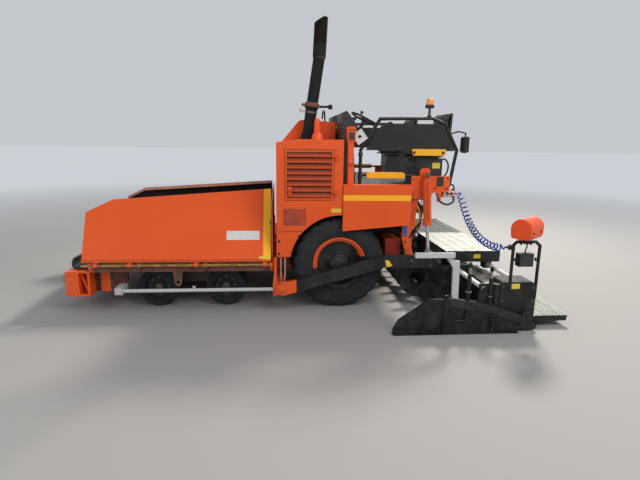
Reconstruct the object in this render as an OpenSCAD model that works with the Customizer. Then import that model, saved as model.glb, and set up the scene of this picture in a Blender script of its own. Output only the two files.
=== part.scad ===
// Wheeled asphalt paver with a floating, hydraulically widened screed.
// X runs forward to the hopper, Y to the machine's left and Z up from the ground.
// Left and right pieces are the same shape, mirrored across the middle plane.

/* [Wheels] */
// Position of the rear axle along the machine
rear_axle_x = -400; // [-410:5:-390]
// Outer diameter of the rear tyre
rear_tyre_d = 1100; // [1080:5:1110]
// Width of the rear tyre
rear_tyre_w = 370; // [340:5:370]
// Inner edge of the rear tyre from the middle
rear_tyre_in = 780; // [775:1:785]
// Diameter of the rear rim seen from the side
rear_rim_d = 620; // [560:5:640]
// Position of the first front axle
front_axle_x = 1765; // [1755:5:1775]
// Distance between the two front axles
front_axle_gap = 800; // [780:5:820]
// Outer diameter of the solid front wheels
front_wheel_d = 480; // [460:5:485]
// Width of the front wheels
front_wheel_w = 260; // [240:5:260]
// Kingpin distance from the middle
kingpin_y = 680; // [675:1:685]
// Kingpin radius
kingpin_r = 18; // [14:1:20]
// Length of the steering arms
steer_arm = 130; // [110:5:135]

/* [Chassis] */
// Inner face of the chassis rails
rail_in = 560; // [540:5:565]
// Thickness of the chassis rails
rail_t = 40; // [30:5:45]
// Underside of the rails above ground
rail_z0 = 330; // [325:5:340]
// Top of the rails under the hopper
rail_z1 = 520; // [515:5:525]
// Top of the rails under the engine
rail_z2 = 900; // [880:10:920]
// Front face of the chassis
chassis_front = 2490; // [2480:5:2500]
// Rear end of the rails
chassis_rear = -1240; // [-1250:5:-1200]
// Push roller radius
push_roller_r = 85; // [75:1:85]
// Half length of the push beam
beam_half = 1180; // [1170:5:1190]
// Underside of the push beam
beam_z0 = 195; // [190:5:205]
// Top of the push beam
beam_z1 = 490; // [480:1:490]

/* [Hopper] */
// Rear wall of the hopper
hopper_rear = 395; // [390:5:400]
// Plate thickness of the hopper floor
floor_t = 25; // [15:5:25]
// Height of the wing hinge line
wing_hinge_z = 560; // [555:1:570]
// Distance of the wing hinge line from the middle
wing_hinge_y = 1205; // [1200:1:1210]
// Lean of the folded wing towards the middle, in degrees
wing_lean = 35; // [30:1:38]
// Thickness of the wing plate
wing_t = 12; // [8:1:16]
// Height of the wing plate at its rear edge
wing_h = 1010; // [950:5:1050]
// Half width of the conveyor
conveyor_half = 470; // [440:5:480]
// Pitch of the conveyor slats
slat_pitch = 150; // [120:10:200]

/* [Body] */
// Outer face of the hood's sides
hood_y = 1190; // [1185:1:1195]
// Sheet of the hood
hood_t = 6; // [4:1:12]
// Front face of the hood
hood_front = 350; // [345:1:355]
// Rear face of the hood
hood_rear = -415; // [-420:1:-412]
// Height of the hood's flat top
hood_top = 2005; // [1980:5:2030]
// Radius of the wheel arch
arch_r = 595; // [585:1:600]
// Thickness of the side panels beside the platform
side_panel_t = 50; // [40:1:50]
// Height of the platform floor
platform_z = 1500; // [1480:5:1520]
// Number of slats in a hood door
louvre_count = 8; // [5:1:11]

/* [Screed] */
// Inner face of the tow arms
arm_in = 1225; // [1222:1:1230]
// Thickness of the tow arms
arm_t = 65; // [50:5:70]
// Height of the tow arm section
arm_h = 140; // [120:5:150]
// Tow point along the machine
tow_x = 290; // [280:5:300]
// Tow point above ground
tow_z = 275; // [270:1:285]
// Half width of the basic screed
screed_half = 1250; // [1240:1:1255]
// Gate position with the extension drawn out as parked
gate_y = 1990; // [1980:1:2000]
// Front of the basic screed
screed_front = -1530; // [-1540:5:-1520]
// Rear of the basic screed
screed_rear = -2000; // [-2010:5:-1990]
// Deck height of the screed walkway
deck_z = 700; // [690:5:710]
// Radius of the extension guide tubes
guide_r = 28; // [22:1:30]
// Auger radius
auger_r = 170; // [150:5:175]
// Pitch of the auger's helical flights
auger_pitch = 300; // [240:10:340]

/* [Cylinders] */
// Height of the lift cylinder's upper pin
lift_top_z = 1620; // [1610:5:1630]
// Position of the lift cylinder's upper pin along the machine
lift_top_x = -1400; // [-1405:1:-1395]
// Lift cylinder distance from the middle
lift_y = 1165; // [1160:1:1167]
// Barrel radius
barrel_r = 48; // [40:1:48]
// Rod radius
rod_r = 20; // [16:1:22]

/* [Hidden] */
$fn = 48;
// Running clearance of pins and rods in their bores
run = 0.05;
front_axle_xs = [front_axle_x, front_axle_x - front_axle_gap];
rear_y = rear_tyre_in + rear_tyre_w / 2;
rear_r = rear_tyre_d / 2;
front_r = front_wheel_d / 2;
front_in = kingpin_y + 60;
front_out = front_in + front_wheel_w;
rail_out = rail_in + rail_t;
floor_z = rail_z1 + floor_t;
arm_out = arm_in + arm_t;
arm_mid = (arm_in + arm_out) / 2;
lift_pin_x = -1468;
lift_pin_z = 690;

// Box from one corner to the other
module block(x0, x1, y0, y1, z0, z1) {
    translate([x0, y0, z0])
        cube([x1 - x0, y1 - y0, z1 - z0]);
}

// Side view outline, extruded across the machine
module side_plate(points, y0, y1) {
    translate([0, y1, 0])
        rotate([90, 0, 0])
            linear_extrude(y1 - y0)
                polygon(points);
}

// Front view outline, extruded along the machine
module cross_plate(points, x0, x1) {
    translate([x0, 0, 0])
        rotate([90, 0, 90])
            linear_extrude(x1 - x0)
                polygon(points);
}

module rod_y(x, z, r, y0, y1) {
    translate([x, y1, z])
        rotate([90, 0, 0])
            cylinder(r = r, h = y1 - y0);
}

module rod_x(y, z, r, x0, x1) {
    translate([x0, y, z])
        rotate([0, 90, 0])
            cylinder(r = r, h = x1 - x0);
}

// Round bar between two points
module bar(a, b, r) {
    d = b - a;
    flat = norm([d[0], d[1]]);
    translate(a)
        rotate([0, atan2(flat, d[2]), atan2(d[1], d[0])])
            cylinder(r = r, h = norm(d));
}

// Tube bent at each point of a route
module tube_route(points, r) {
    for (i = [0 : len(points) - 2])
        bar(points[i], points[i + 1], r);
    for (i = [1 : len(points) - 2])
        translate(points[i])
            sphere(r = r + 0.5);
}

module both_sides() {
    children();
    mirror([0, 1, 0])
        children();
}

module on_side(s) {
    if (s > 0)
        children();
    else
        mirror([0, 1, 0])
            children();
}

// Chassis
rail_outline = [
    [chassis_front, rail_z0], [chassis_front, rail_z1], [hopper_rear - 22, rail_z1], [330, rail_z2],
    [chassis_rear, rail_z2], [chassis_rear, 620], [-1050, 420], [-100, rail_z0]
];
cheek_outline = [
    [2120, 330], [2200, 200], [chassis_front, 200], [chassis_front, rail_z1], [2120, rail_z1]
];

module frame() {
    color("orangered")
        union() {
            both_sides() {
                difference() {
                    side_plate(rail_outline, rail_in, rail_out);
                    for (x = [1850, 1600, 1130, 900])
                        rod_y(x, (rail_z0 + rail_z1) / 2, 45, rail_in - 1, rail_out + 1);
                }
                side_plate(cheek_outline, 950, 1000);
                block(1300, 1430, 480, rail_in + 20, 310, rail_z0);
                tow_bracket();
            }
            block(2440, chassis_front, -1000, 1000, rail_z0, rail_z1);
            for (x = [2100, 1365, 700, 60])
                block(x - 40, x + 40, -rail_in, rail_in, rail_z0, rail_z0 + 60);
            block(-1160, hopper_rear + 25, -rail_in, rail_in, rail_z1 - 20, rail_z1);
            block(chassis_rear, chassis_rear + 40, -rail_in, rail_in, 820, rail_z2);
            auger_case();
        }
}

// Chain case between the two conveyors, with the stub shaft that carries the augers
auger_x = -1350;
auger_z = 290;
case_half = 50;
stub_r = 20;

module auger_case() {
    side_plate([[auger_x - 60, auger_z - 60], [auger_x + 60, auger_z - 60], [auger_x + 60, 420],
        [chassis_rear + 40, 700], [chassis_rear + 40, 820], [chassis_rear, 820], [auger_x - 60, 420]],
        -case_half, case_half);
    rod_y(auger_x, auger_z, stub_r, -case_half - 40, case_half + 40);
}

// Outrigger with the tow pin, its guide bar and the levelling cylinder that holds it
level_y = 1150;

module tow_bracket() {
    block(tow_x - 40, tow_x + 60, rail_in, 1140, tow_z - 35, rail_z0 + 15);
    side_plate([[tow_x - 75, tow_z - 60], [tow_x + 50, tow_z - 90], [tow_x + 80, tow_z - 90],
        [tow_x + 80, tow_z + 60], [tow_x - 60, tow_z + 60]], 1125, 1205);
    side_plate([[tow_x + 60, tow_z - 105], [tow_x + 105, tow_z - 105], [tow_x + 105, tow_z + 60],
        [tow_x + 90, tow_z + 180], [tow_x + 90, 640], [tow_x + 60, 640]], 1172, 1205);
    rod_y(tow_x, tow_z, 25, 1205, arm_out + 12);
    for (x = [tow_x - 40, tow_x + 10]) {
        translate([x, level_y, tow_z + 30])
            cylinder(r = 11, h = 400);
        translate([x, level_y, 660])
            cylinder(r = 22, h = 210);
    }
    block(240, 320, rail_out - 20, 1178, 860, rail_z2);
}

roller_x = chassis_front + 300;
roller_z = 345;
roller_shaft_r = 30;
beam_front = chassis_front + 200;
bearing_outline = [
    [beam_front, roller_z - 75], [roller_x, roller_z - 62], [roller_x + 45, roller_z - 30],
    [roller_x + 45, roller_z + 30], [roller_x, roller_z + 62], [beam_front, roller_z + 75]
];

module push_beam() {
    color("orangered")
        union() {
            difference() {
                block(chassis_front, beam_front, -beam_half, beam_half, beam_z0, beam_z1);
                both_sides()
                    block(chassis_front + 22, chassis_front + 120, beam_half - 165, beam_half + 1,
                        beam_z0 + 20, beam_z1 - 20);
            }
            both_sides() {
                translate([chassis_front, 0, 0])
                    side_plate([[22, beam_z0 + 20], [45, beam_z0 + 20], [120, beam_z1 - 60],
                        [120, beam_z1 - 20],
                        [106, beam_z1 - 20]], beam_half - 70, beam_half - 58);
                translate([beam_front, 0, 0])
                    side_plate([[0, beam_z0], [55, beam_z0], [70, beam_z0 + 15], [70, beam_z1 - 15],
                        [55, beam_z1],
                        [0, beam_z1]], 1000, beam_half);
                side_plate(bearing_outline, 985, 1000);
            }
            side_plate(bearing_outline, -15, 15);
            rod_y(roller_x, roller_z, roller_shaft_r, -990, 990);
        }
}

module push_rollers() {
    color("dimgray")
        both_sides()
            difference() {
                rod_y(roller_x, roller_z, push_roller_r, 25, 975);
                rod_y(roller_x, roller_z, roller_shaft_r + run, 24, 976);
            }
}

// Front running gear
rocker_outline = [
    [890, 190], [890, 285], [1300, 310], [1430, 310], [1840, 285], [1840, 190], [1430, 170], [1300, 170]
];

module front_axles() {
    color("dimgray")
        union() {
            both_sides()
                side_plate(rocker_outline, 480, 550);
            for (x = front_axle_xs) {
                block(x - 45, x + 45, -600, 600, 200, 280);
                both_sides()
                    difference() {
                        union() {
                            translate([x, kingpin_y, 195])
                                cylinder(r = 32, h = 90);
                            block(x - 32, x + 32, 590, kingpin_y, 200, 280);
                        }
                        translate([x, kingpin_y, 190])
                            cylinder(r = kingpin_r + run, h = 100);
                    }
            }
        }
}

module knuckle(x) {
    color("dimgray")
        union() {
            translate([x, kingpin_y, 165])
                cylinder(r = kingpin_r, h = 150);
            for (z = [160, 290])
                block(x - 36, x + 36, kingpin_y - 34, front_in - 8, z, z + 30);
            block(x - 60, x + 60, front_in - 22, front_in - 2, 160, 320);
            rod_y(x, front_r, 30, front_in - 10, front_out - 64);
            block(x - steer_arm + 16, x - 30, kingpin_y - 16, kingpin_y + 16, 160, 186);
            translate([x - steer_arm, kingpin_y, 160])
                cylinder(r = 24, h = 26);
            translate([x - steer_arm, kingpin_y, ball_z - 16])
                cylinder(r = 9, h = 180 - ball_z);
        }
}

// Rod that joins the two steering arms of one axle
ball_z = 138;

module tie_rod(x) {
    color("silver")
        difference() {
            union() {
                rod_y(x - steer_arm, ball_z, 13, -kingpin_y, kingpin_y);
                for (s = [-1, 1])
                    translate([x - steer_arm, s * kingpin_y, ball_z - 16])
                        cylinder(r = 22, h = 32);
            }
            for (s = [-1, 1])
                translate([x - steer_arm, s * kingpin_y, ball_z - 20])
                    cylinder(r = 9 + run, h = 40);
        }
}

module front_wheel(x) {
    color([0.1, 0.1, 0.1])
        translate([x, front_out, front_r])
            rotate([90, 0, 0])
                rotate_extrude($fn = 72)
                    polygon([[30 + run, 62], [0, 62], [0, 42], [60, 42], [70, 58], [150, 58], [160, 12],
                        [172, 12],
                        [176, 0], [190, 0], [194, 10], [206, 10], [210, 0], [222, 0], [front_r, 26],
                        [front_r, front_wheel_w - 26], [front_r - 18, front_wheel_w], [160, front_wheel_w],
                        [150, 200], [80, 200], [70, front_wheel_w - 4], [30 + run, front_wheel_w - 4]]);
}

// Rear running gear
module rear_hubs() {
    color([0.12, 0.12, 0.13])
        both_sides()
            union() {
                rod_y(rear_axle_x, rear_r, 200, rail_out, 700);
                rod_y(rear_axle_x, rear_r, 150, 700, 840);
                rod_y(rear_axle_x, rear_r, 60, 840, 1080);
            }
}

rim_r = rear_rim_d / 2;

// Deep dished rim with a protruding hub
module rear_rim() {
    color("orangered")
        translate([rear_axle_x, rear_tyre_in + rear_tyre_w, rear_r])
            rotate([90, 0, 0])
                rotate_extrude($fn = 96)
                    polygon([[60 + run, 50], [0, 50], [0, 20], [100, 20], [108, 30], [108, 90],
                        [rim_r - 50, 110],
                        [rim_r - 38, 30], [rim_r - 14, 22], [rim_r - 8, 2], [rim_r + 6, 2],
                            [rim_r + 10, 16],
                        [rim_r - 6, 30], [rim_r - 22, 60], [rim_r - 22, rear_tyre_w - 40],
                        [rim_r + 6, rear_tyre_w - 20], [rim_r + 6, rear_tyre_w - 4],
                            [rim_r - 10, rear_tyre_w - 4],
                        [rim_r - 40, rear_tyre_w - 40], [rim_r - 40, 140], [110, 130], [60 + run, 130]]);
}

module rear_tyre() {
    color([0.08, 0.08, 0.08])
        translate([rear_axle_x, rear_tyre_in + rear_tyre_w, rear_r])
            rotate([90, 0, 0])
                rotate_extrude($fn = 96)
                    polygon([[rim_r - 6, 30.3], [rim_r + 12, 16], [rim_r + 40, 4], [rim_r + 110, 0],
                        [rear_r - 70, 8], [rear_r - 30, 24], [rear_r - 8, 44], [rear_r, 80],
                        [rear_r, rear_tyre_w - 80], [rear_r - 8, rear_tyre_w - 44],
                        [rear_r - 30, rear_tyre_w - 24], [rear_r - 70, rear_tyre_w - 8],
                        [rim_r + 110, rear_tyre_w], [rim_r + 40, rear_tyre_w - 6],
                        [rim_r + 8, rear_tyre_w - 20.3], [rim_r - 20, rear_tyre_w - 48],
                            [rim_r - 21.7, 60]]);
}

// Hopper
module hopper() {
    color("orangered")
        union() {
            block(hopper_rear, chassis_front, -1180, 1180, rail_z1, floor_z);
            cross_plate([[-26, floor_z], [26, floor_z], [6, floor_z + 48], [-6, floor_z + 48]],
                hopper_rear, chassis_front - 90);
            both_sides() {
                cross_plate([[500, floor_z], [1150, floor_z], [1150, 580], [1120, 580]],
                    hopper_rear, chassis_front - 90);
                block(hopper_rear, chassis_front, 1155, 1180, 480, rail_z1);
                rod_x(wing_hinge_y, wing_hinge_z, 14, hopper_rear, 2560);
                for (x = [400, 1150, 1900, 2440])
                    hinge_lug(x);
                tie_down_lug();
            }
            difference() {
                block(hopper_rear, hopper_rear + 15, -1120, 1120, floor_z, 1300);
                block(hopper_rear - 1, hopper_rear + 16, -conveyor_half - 20, conveyor_half + 20,
                    floor_z - 1, 850);
            }
            both_sides()
                cross_plate([[conveyor_half + 20, floor_z], [conveyor_half + 60, floor_z],
                    [conveyor_half + 60, 880], [0, 880], [0, 850], [conveyor_half + 20, 850]],
                    hopper_rear - 18, hopper_rear);
        }
}

module hinge_lug(x) {
    difference() {
        cross_plate([[1170, 490], [1170, 560], [1190, 584], [1220, 584], [1220, 536], [1190, 490]],
            x, x + 40);
        rod_x(wing_hinge_y, wing_hinge_z, 14, x - 1, x + 41);
    }
}

// Lug with a hole for tying the machine down
tie_x = 1494;
tie_z = 350;
tie_r = 22;

module tie_down_lug() {
    difference() {
        union() {
            side_plate([[tie_x - 60, 482], [tie_x - 40, tie_z], [tie_x + 40, tie_z], [tie_x + 60, 482]],
                1155, 1180);
            rod_y(tie_x, tie_z, 42, 1155, 1180);
        }
        rod_y(tie_x, tie_z, tie_r, 1150, 1185);
    }
}

// Bar conveyors: two chains each, with flights across them
chain_pitch = 200;
chain_x0 = -1140;
chain_x1 = chassis_front - 150;

module chain_plate() {
    translate([chain_x0, floor_z + 2])
        square([chain_x1 - chain_x0, 14]);
    for (x = [chain_x0 : chain_pitch : chain_x1])
        translate([x, floor_z + 18])
            circle(r = 9, $fn = 6);
}

module conveyor() {
    color("gray")
        both_sides()
            union() {
                for (y = [62, conveyor_half - 18])
                    translate([0, y + 10, 0])
                        rotate([90, 0, 0])
                            linear_extrude(10)
                                chain_plate();
                for (x = [chain_x0 + 50 : slat_pitch : chain_x1 - 40])
                    side_plate([[x, floor_z + 3], [x + 46, floor_z + 3], [x + 46, floor_z + 11],
                        [x + 10, floor_z + 11],
                        [x + 10, floor_z + 34], [x, floor_z + 34]], 32, conveyor_half);
            }
}

// Rubber flap that closes the hopper's front, bowed forward
module apron() {
    color([0.08, 0.08, 0.08])
        translate([chassis_front, 0, beam_z1])
            side_plate([[0, 2], [150, 2], [186, 10], [208, 34], [214, 70], [206, 110], [186, 142],
                [160, 158],
                [148, 146], [170, 126], [186, 98], [190, 70], [184, 48], [170, 34], [146, 28], [0, 28]],
                -1100, 1100);
}

// Wing plate outline along its own plane, from the hinge line up
wing_rear = hopper_rear + 24;
wing_front = chassis_front + 70;
wing_foot = 34;
wing_outline = [
    [wing_rear, wing_foot], [wing_front, wing_foot], [wing_front + 46, wing_h - 330],
    [wing_front - 245, wing_h - 160], [wing_rear, wing_h]
];

module wing() {
    color("orangered")
        translate([0, wing_hinge_y, wing_hinge_z])
            rotate([wing_lean, 0, 0])
                union() {
                    side_plate(wing_outline, 0, wing_t);
                    side_plate([[wing_rear, wing_h - 14], [wing_rear, wing_h],
                        [wing_front - 245, wing_h - 160],
                        [wing_front + 46, wing_h - 330], [wing_front + 40, wing_h - 344],
                        [wing_front - 248, wing_h - 174]], -50, 1);
                    side_plate([[wing_rear, 100], [wing_rear + 14, 100], [wing_rear + 14, wing_h - 10],
                        [wing_rear, wing_h - 4]], -50, 1);
                    side_plate([[wing_front - 10, 100], [wing_front + 4, 100],
                        [wing_front + 46, wing_h - 330],
                        [wing_front + 30, wing_h - 330]], -40, 1);
                    side_plate([[1400, 60], [1420, 60], [1420, wing_h - 86], [1400, wing_h - 86]], -30, 1);
                    block(wing_rear, wing_front, -4, wing_t + 18, wing_foot, wing_foot + 8);
                    block(wing_rear, wing_front, wing_t - 1, wing_t + 10, wing_foot + 26, wing_foot + 34);
                    for (x = [460, 1250, 2000, 2380])
                        difference() {
                            union() {
                                rod_x(0, 0, 24, x, x + 50);
                                block(x, x + 50, -8, wing_t, 10, 44);
                            }
                            rod_x(0, 0, 14 + run, x - 1, x + 51);
                        }
                }
}

// Engine hood
hood_outline = [
    [hood_rear, 1000], [hood_rear, hood_top], [75, hood_top], [hood_front, hood_top - 40],
    [hood_front, 650], [100, 650]
];
door_x0 = -313;
door_x1 = 261;
door_z0 = 1313;
door_z1 = 1895;
door_hinge_x = door_x0 - 20;
door_hinge_y = hood_y + 15;

grille_x0 = 7;
grille_x1 = 273;
grille_z0 = 1020;
grille_z1 = 1219;

module hood() {
    color("orangered")
        union() {
            difference() {
                side_plate(hood_outline, -hood_y, hood_y);
                side_plate([[hood_rear + hood_t, 600], [hood_rear + hood_t, hood_top - hood_t],
                    [74, hood_top - hood_t],
                    [hood_front - hood_t, hood_top - 40 - hood_t], [hood_front - hood_t, 600]],
                    -hood_y + hood_t, hood_y - hood_t);
                block(hood_rear - 1, hood_front + 1, -rail_out - 140, rail_out + 140, 500, 1250);
                both_sides() {
                    rod_y(rear_axle_x, rear_r, arch_r, 700, hood_y + 1);
                    block(door_x0, door_x1, hood_y - 40, hood_y + 1, door_z0, door_z1);
                    block(grille_x0, grille_x1, hood_y - hood_t / 2, hood_y + 1, grille_z0, grille_z1);
                }
            }
            both_sides() {
                for (z = [door_z0 + 60, door_z1 - 120])
                    hood_hinge(z);
                corner_plate();
            }
        }
}

// Bolted plate at the hood's lower front corner, cut along the wheel arch
module corner_plate() {
    difference() {
        side_plate([[hood_front - 4, 655], [hood_front - 4, 950], [30, 950], [170, 655]],
            hood_y - 1, hood_y + 4);
        rod_y(rear_axle_x, rear_r, arch_r + 8, hood_y - 2, hood_y + 5);
    }
}

module hood_hinge(z) {
    translate([door_hinge_x, door_hinge_y, z])
        cylinder(r = 14, h = 30);
    block(door_hinge_x - 30, door_hinge_x, hood_y - 1, door_hinge_y, z, z + 30);
    translate([door_hinge_x, door_hinge_y, z])
        cylinder(r = 7, h = 62);
}

module hood_door() {
    slat_pitch_z = (door_z1 - door_z0 - 60) / louvre_count;
    color("orangered")
        union() {
            difference() {
                block(door_x0 + 5, door_x1 - 5, hood_y - 22, hood_y, door_z0 + 5, door_z1 - 5);
                block(door_x0 + 32, door_x1 - 32, hood_y - 23, hood_y + 1, door_z0 + 30, door_z1 - 30);
            }
            for (i = [0 : louvre_count - 1])
                translate([0, 0, door_z0 + 30 + i * slat_pitch_z])
                    cross_plate([[hood_y - 18, slat_pitch_z - 4], [hood_y - 14, slat_pitch_z - 1],
                        [hood_y - 2, 12], [hood_y - 6, 8]], door_x0 + 26, door_x1 - 26);
            for (z = [door_z0 + 60, door_z1 - 120])
                difference() {
                    union() {
                        translate([door_hinge_x, door_hinge_y, z + 31])
                            cylinder(r = 14, h = 30);
                        block(door_hinge_x, door_x0 + 24, hood_y + 1, door_hinge_y + 4, z + 31, z + 61);
                        block(door_x0 + 12, door_x0 + 24, hood_y - 10, hood_y + 3, z + 33, z + 59);
                    }
                    translate([door_hinge_x, door_hinge_y, z + 30])
                        cylinder(r = 7 + run, h = 33);
                }
            block(door_x1 - 90, door_x1 - 40, hood_y - 21, hood_y + 3, door_z0 + 55, door_z0 + 160);
            rod_y(door_x1 - 65, door_z0 + 140, 9, hood_y, hood_y + 24);
            block(door_x1 - 73, door_x1 - 57, hood_y + 14, hood_y + 23, door_z0 + 70, door_z0 + 150);
        }
}

module engine() {
    color("dimgray")
        union() {
            block(hood_rear + 115, hood_front - 100, -rail_out - 50, rail_out + 50, rail_z2 + 5,
                hood_top - 355);
            both_sides()
                block(hood_rear + 215, hood_front - 200, rail_in - 60, rail_in + 30, rail_z2, rail_z2 + 5);
        }
}

module air_box() {
    color("orangered")
        union() {
            translate([0, 0, hood_top])
                side_plate([[268, -28], [268, -20], [60, 230], [30, 240], [-390, 220], [-400, 210],
                    [-400, 0], [75, 0]],
                    -420, 430);
            translate([-140, 800, hood_top])
                rotate_extrude()
                    polygon([[0, 0], [72, 0], [64, 24], [52, 62], [36, 70], [37, 200], [30, 232],
                        [16, 246], [0, 250]]);
        }
}

exhaust_base = [-30, 600, hood_top];
exhaust_knee = [-178, 600, hood_top + 1025];
exhaust_tip = [-190, 600, hood_top + 1415];

function along_pipe(k) = exhaust_base + k * (exhaust_knee - exhaust_base);

module exhaust() {
    color([0.13, 0.13, 0.13])
        difference() {
            union() {
                translate(exhaust_base)
                    cylinder(r = 100, h = 12);
                bar(along_pipe(0.005), exhaust_knee, 70);
                bar(along_pipe(0.005), along_pipe(0.06), 84);
                bar(along_pipe(0.36), along_pipe(0.4), 82);
                bar(along_pipe(0.94), exhaust_tip, 80);
                translate(along_pipe(0.38))
                    block(-220, -60, -15, 15, -10, 10);
                translate(along_pipe(0.38))
                    block(-250, -205, -30, 30, -25, 25);
            }
            bar(along_pipe(0.97), exhaust_tip + [0, 0, 20], 72);
            translate(exhaust_tip)
                rotate([0, 30, 0])
                    block(-200, 200, -120, 120, -15, 200);
            translate(exhaust_base)
                block(-400, 400, -300, 300, -200, 0);
        }
}

// Operator platform
module side_panels() {
    color("orangered")
        both_sides()
            side_plate([[hood_rear - 5, 960], [hood_rear - 5, platform_z], [-1222, platform_z],
                [-1215, 1030]],
                1215 - side_panel_t, 1215);
}

module platform() {
    color("orangered")
        union() {
            block(-1222, hood_rear, -1165, 1165, platform_z - 40, platform_z);
            block(-1700, -1222, -1080, 1080, platform_z - 40, platform_z);
            both_sides() {
                block(-1222, hood_rear - 5, 1100, 1165, platform_z - 90, platform_z - 40);
                lamp_post();
            }
            block(-1200, -1160, -1035, 1035, rail_z2, platform_z - 40);
            block(-1180, hood_rear, -560, -520, rail_z2, platform_z - 40);
            block(-1180, hood_rear, 520, 560, rail_z2, platform_z - 40);
        }
}

module lamp_post() {
    side_plate([[-545, platform_z], [-475, platform_z], [-470, 1990], [-535, 1990]], 1085, 1150);
    difference() {
        side_plate([[-552, 1985], [-462, 1985], [-456, 2140], [-466, 2152], [-540, 2152], [-552, 2140]],
            1075, 1160);
        block(-540, -472, 1150, 1161, 2000, 2090);
    }
    rod_y(-507, 1740, 30, 1149, 1156);
}

guard_y = 1000;
guard_pts = [[-640, guard_y, platform_z], [-640, guard_y, 1890], [-860, guard_y, 2250],
    [-1480, guard_y, 2265], [-1640, guard_y, 2200], [-1800, guard_y, 1900],
        [-1735, guard_y, platform_z - 20],
    [-1700, guard_y, platform_z - 20]];
mirror_outline = [[-1905, 1885], [-1870, 1870], [-1850, 1890], [-1850, 2046], [-1862, 2060], [-1893, 2060],
    [-1905, 2046]];

module guards() {
    color([0.16, 0.17, 0.18])
        both_sides()
            union() {
                tube_route(guard_pts, 20);
                side_plate([[-700, 1890], [-890, 2200], [-1640, 2200], [-1770, 1905], [-1765, 1890]],
                    guard_y - 6, guard_y + 6);
                bar([-1330, guard_y, platform_z], [-1330, guard_y, 1895], 14);
                bar([-1330, guard_y, 1600], [-640, guard_y, 1600], 14);
                tube_route([[-1700, guard_y + 8, 2090], [-1800, guard_y + 30, 2120],
                    [-1878, guard_y + 45, 2100], [-1878, guard_y + 45, 2060.3]], 9);
            }
    // The mirrors hang 0.3 mm below their stalks
    color([0.16, 0.17, 0.18])
        both_sides()
            side_plate(mirror_outline, guard_y - 30, guard_y + 110);
    color([0.16, 0.17, 0.18])
        both_sides()
            block(-1465, -1415, guard_y - 16, guard_y + 16, 2278, 2295);
}

// Bars along the platform's edge
module edge_bars() {
    color("gold")
        both_sides() {
            union() {
                block(-1140, -746, guard_y + 14, guard_y + 44, 1565, 1635);
                for (x = [-1140, -746])
                    rod_y(x, 1600, 35, guard_y + 14, guard_y + 44);
            }
            union() {
                side_plate([[-1654, 1835], [-1654, 1910], [-1262, 1910], [-1247, 1895], [-1262, 1835]],
                    guard_y + 17, guard_y + 47);
                for (x = [-1640, -1290])
                    block(x, x + 40, guard_y + 6, guard_y + 18, 1893, 1907);
            }
        }
}

// Seat bases with their controls' boxes and shells; the cushions are separate
seat_in = 530;
seat_out = 945;
shell_outline = [[-1230, 1806], [-1222, 1822], [-1560, 1822], [-1640, 1850], [-1700, 1990], [-1730, 2330],
    [-1748, 2330], [-1730, 1960], [-1662, 1824], [-1600, 1806]];

module seats() {
    color([0.15, 0.15, 0.16])
        both_sides()
            union() {
                side_plate([[-1654, platform_z], [-1301, platform_z], [-1301, 1700], [-1330, 1800],
                    [-1654, 1800]],
                    seat_in + 60, seat_out);
                block(-1600, -1340, seat_in + 80, seat_out - 20, 1800, 1808);
                side_plate(shell_outline, seat_in, seat_out);
                for (y = [seat_in - 28, seat_out - 2])
                    side_plate([[-1670, 2010], [-1420, 2010], [-1400, 2035], [-1420, 2055], [-1690, 2055],
                        [-1725, 2010], [-1700, 1985]], y, y + 30);
            }
}

module seat_cushions() {
    color([0.1, 0.1, 0.11])
        both_sides() {
            side_plate([[-1236, 1822], [-1222, 1850], [-1226, 1895], [-1250, 1925], [-1300, 1938],
                [-1560, 1920],
                [-1585, 1900], [-1578, 1829], [-1560, 1822]], seat_in + 6, seat_out - 6);
            side_plate([[-1650, 1875], [-1606, 1900], [-1600, 1960], [-1636, 2300], [-1660, 2350],
                [-1700, 2362],
                [-1726, 2340], [-1729.5, 2326], [-1699.7, 1990]], seat_in + 6, seat_out - 6);
        }
}

// Dashboard with two instrument pods, and the steering wheel
wheel_centre = [-764, 500, 2262];
wheel_tilt = 26;
dash_outline = [[-430, platform_z], [-430, 2150], [-480, 2180], [-560, 2120], [-600, platform_z]];
pod_outline = [[-440, 2100], [-440, 2320], [-500, 2350], [-640, 2170], [-640, 2080], [-560, 2050]];

module console() {
    color([0.14, 0.14, 0.15])
        union() {
            side_plate(dash_outline, -900, 900);
            for (y = [-760, 280])
                side_plate(pod_outline, y, y + 480);
            translate(wheel_centre)
                rotate([0, -wheel_tilt, 0])
                    steering_wheel();
        }
}

module steering_wheel() {
    rotate_extrude()
        translate([175, 0])
            circle(r = 14, $fn = 24);
    cylinder(r = 38, h = 30, center = true);
    for (a = [60, 180, 300])
        rotate([0, 90, a])
            cylinder(r = 9, h = 172);
    translate([0, 0, -260])
        cylinder(r = 24, h = 250);
}

module beacon() {
    color("orange")
        translate([-1440, guard_y, 2295])
            union() {
                cylinder(r = 16, h = 90);
                translate([0, 0, 88])
                    cylinder(r = 50, h = 34);
                translate([0, 0, 121])
                    rotate_extrude()
                        polygon([[0, 0], [43, 0], [43, 48], [37, 66], [22, 78], [0, 82]]);
            }
}

// Rear structure that carries the screed's lift cylinders
lift_plate_out = 1105;

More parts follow.
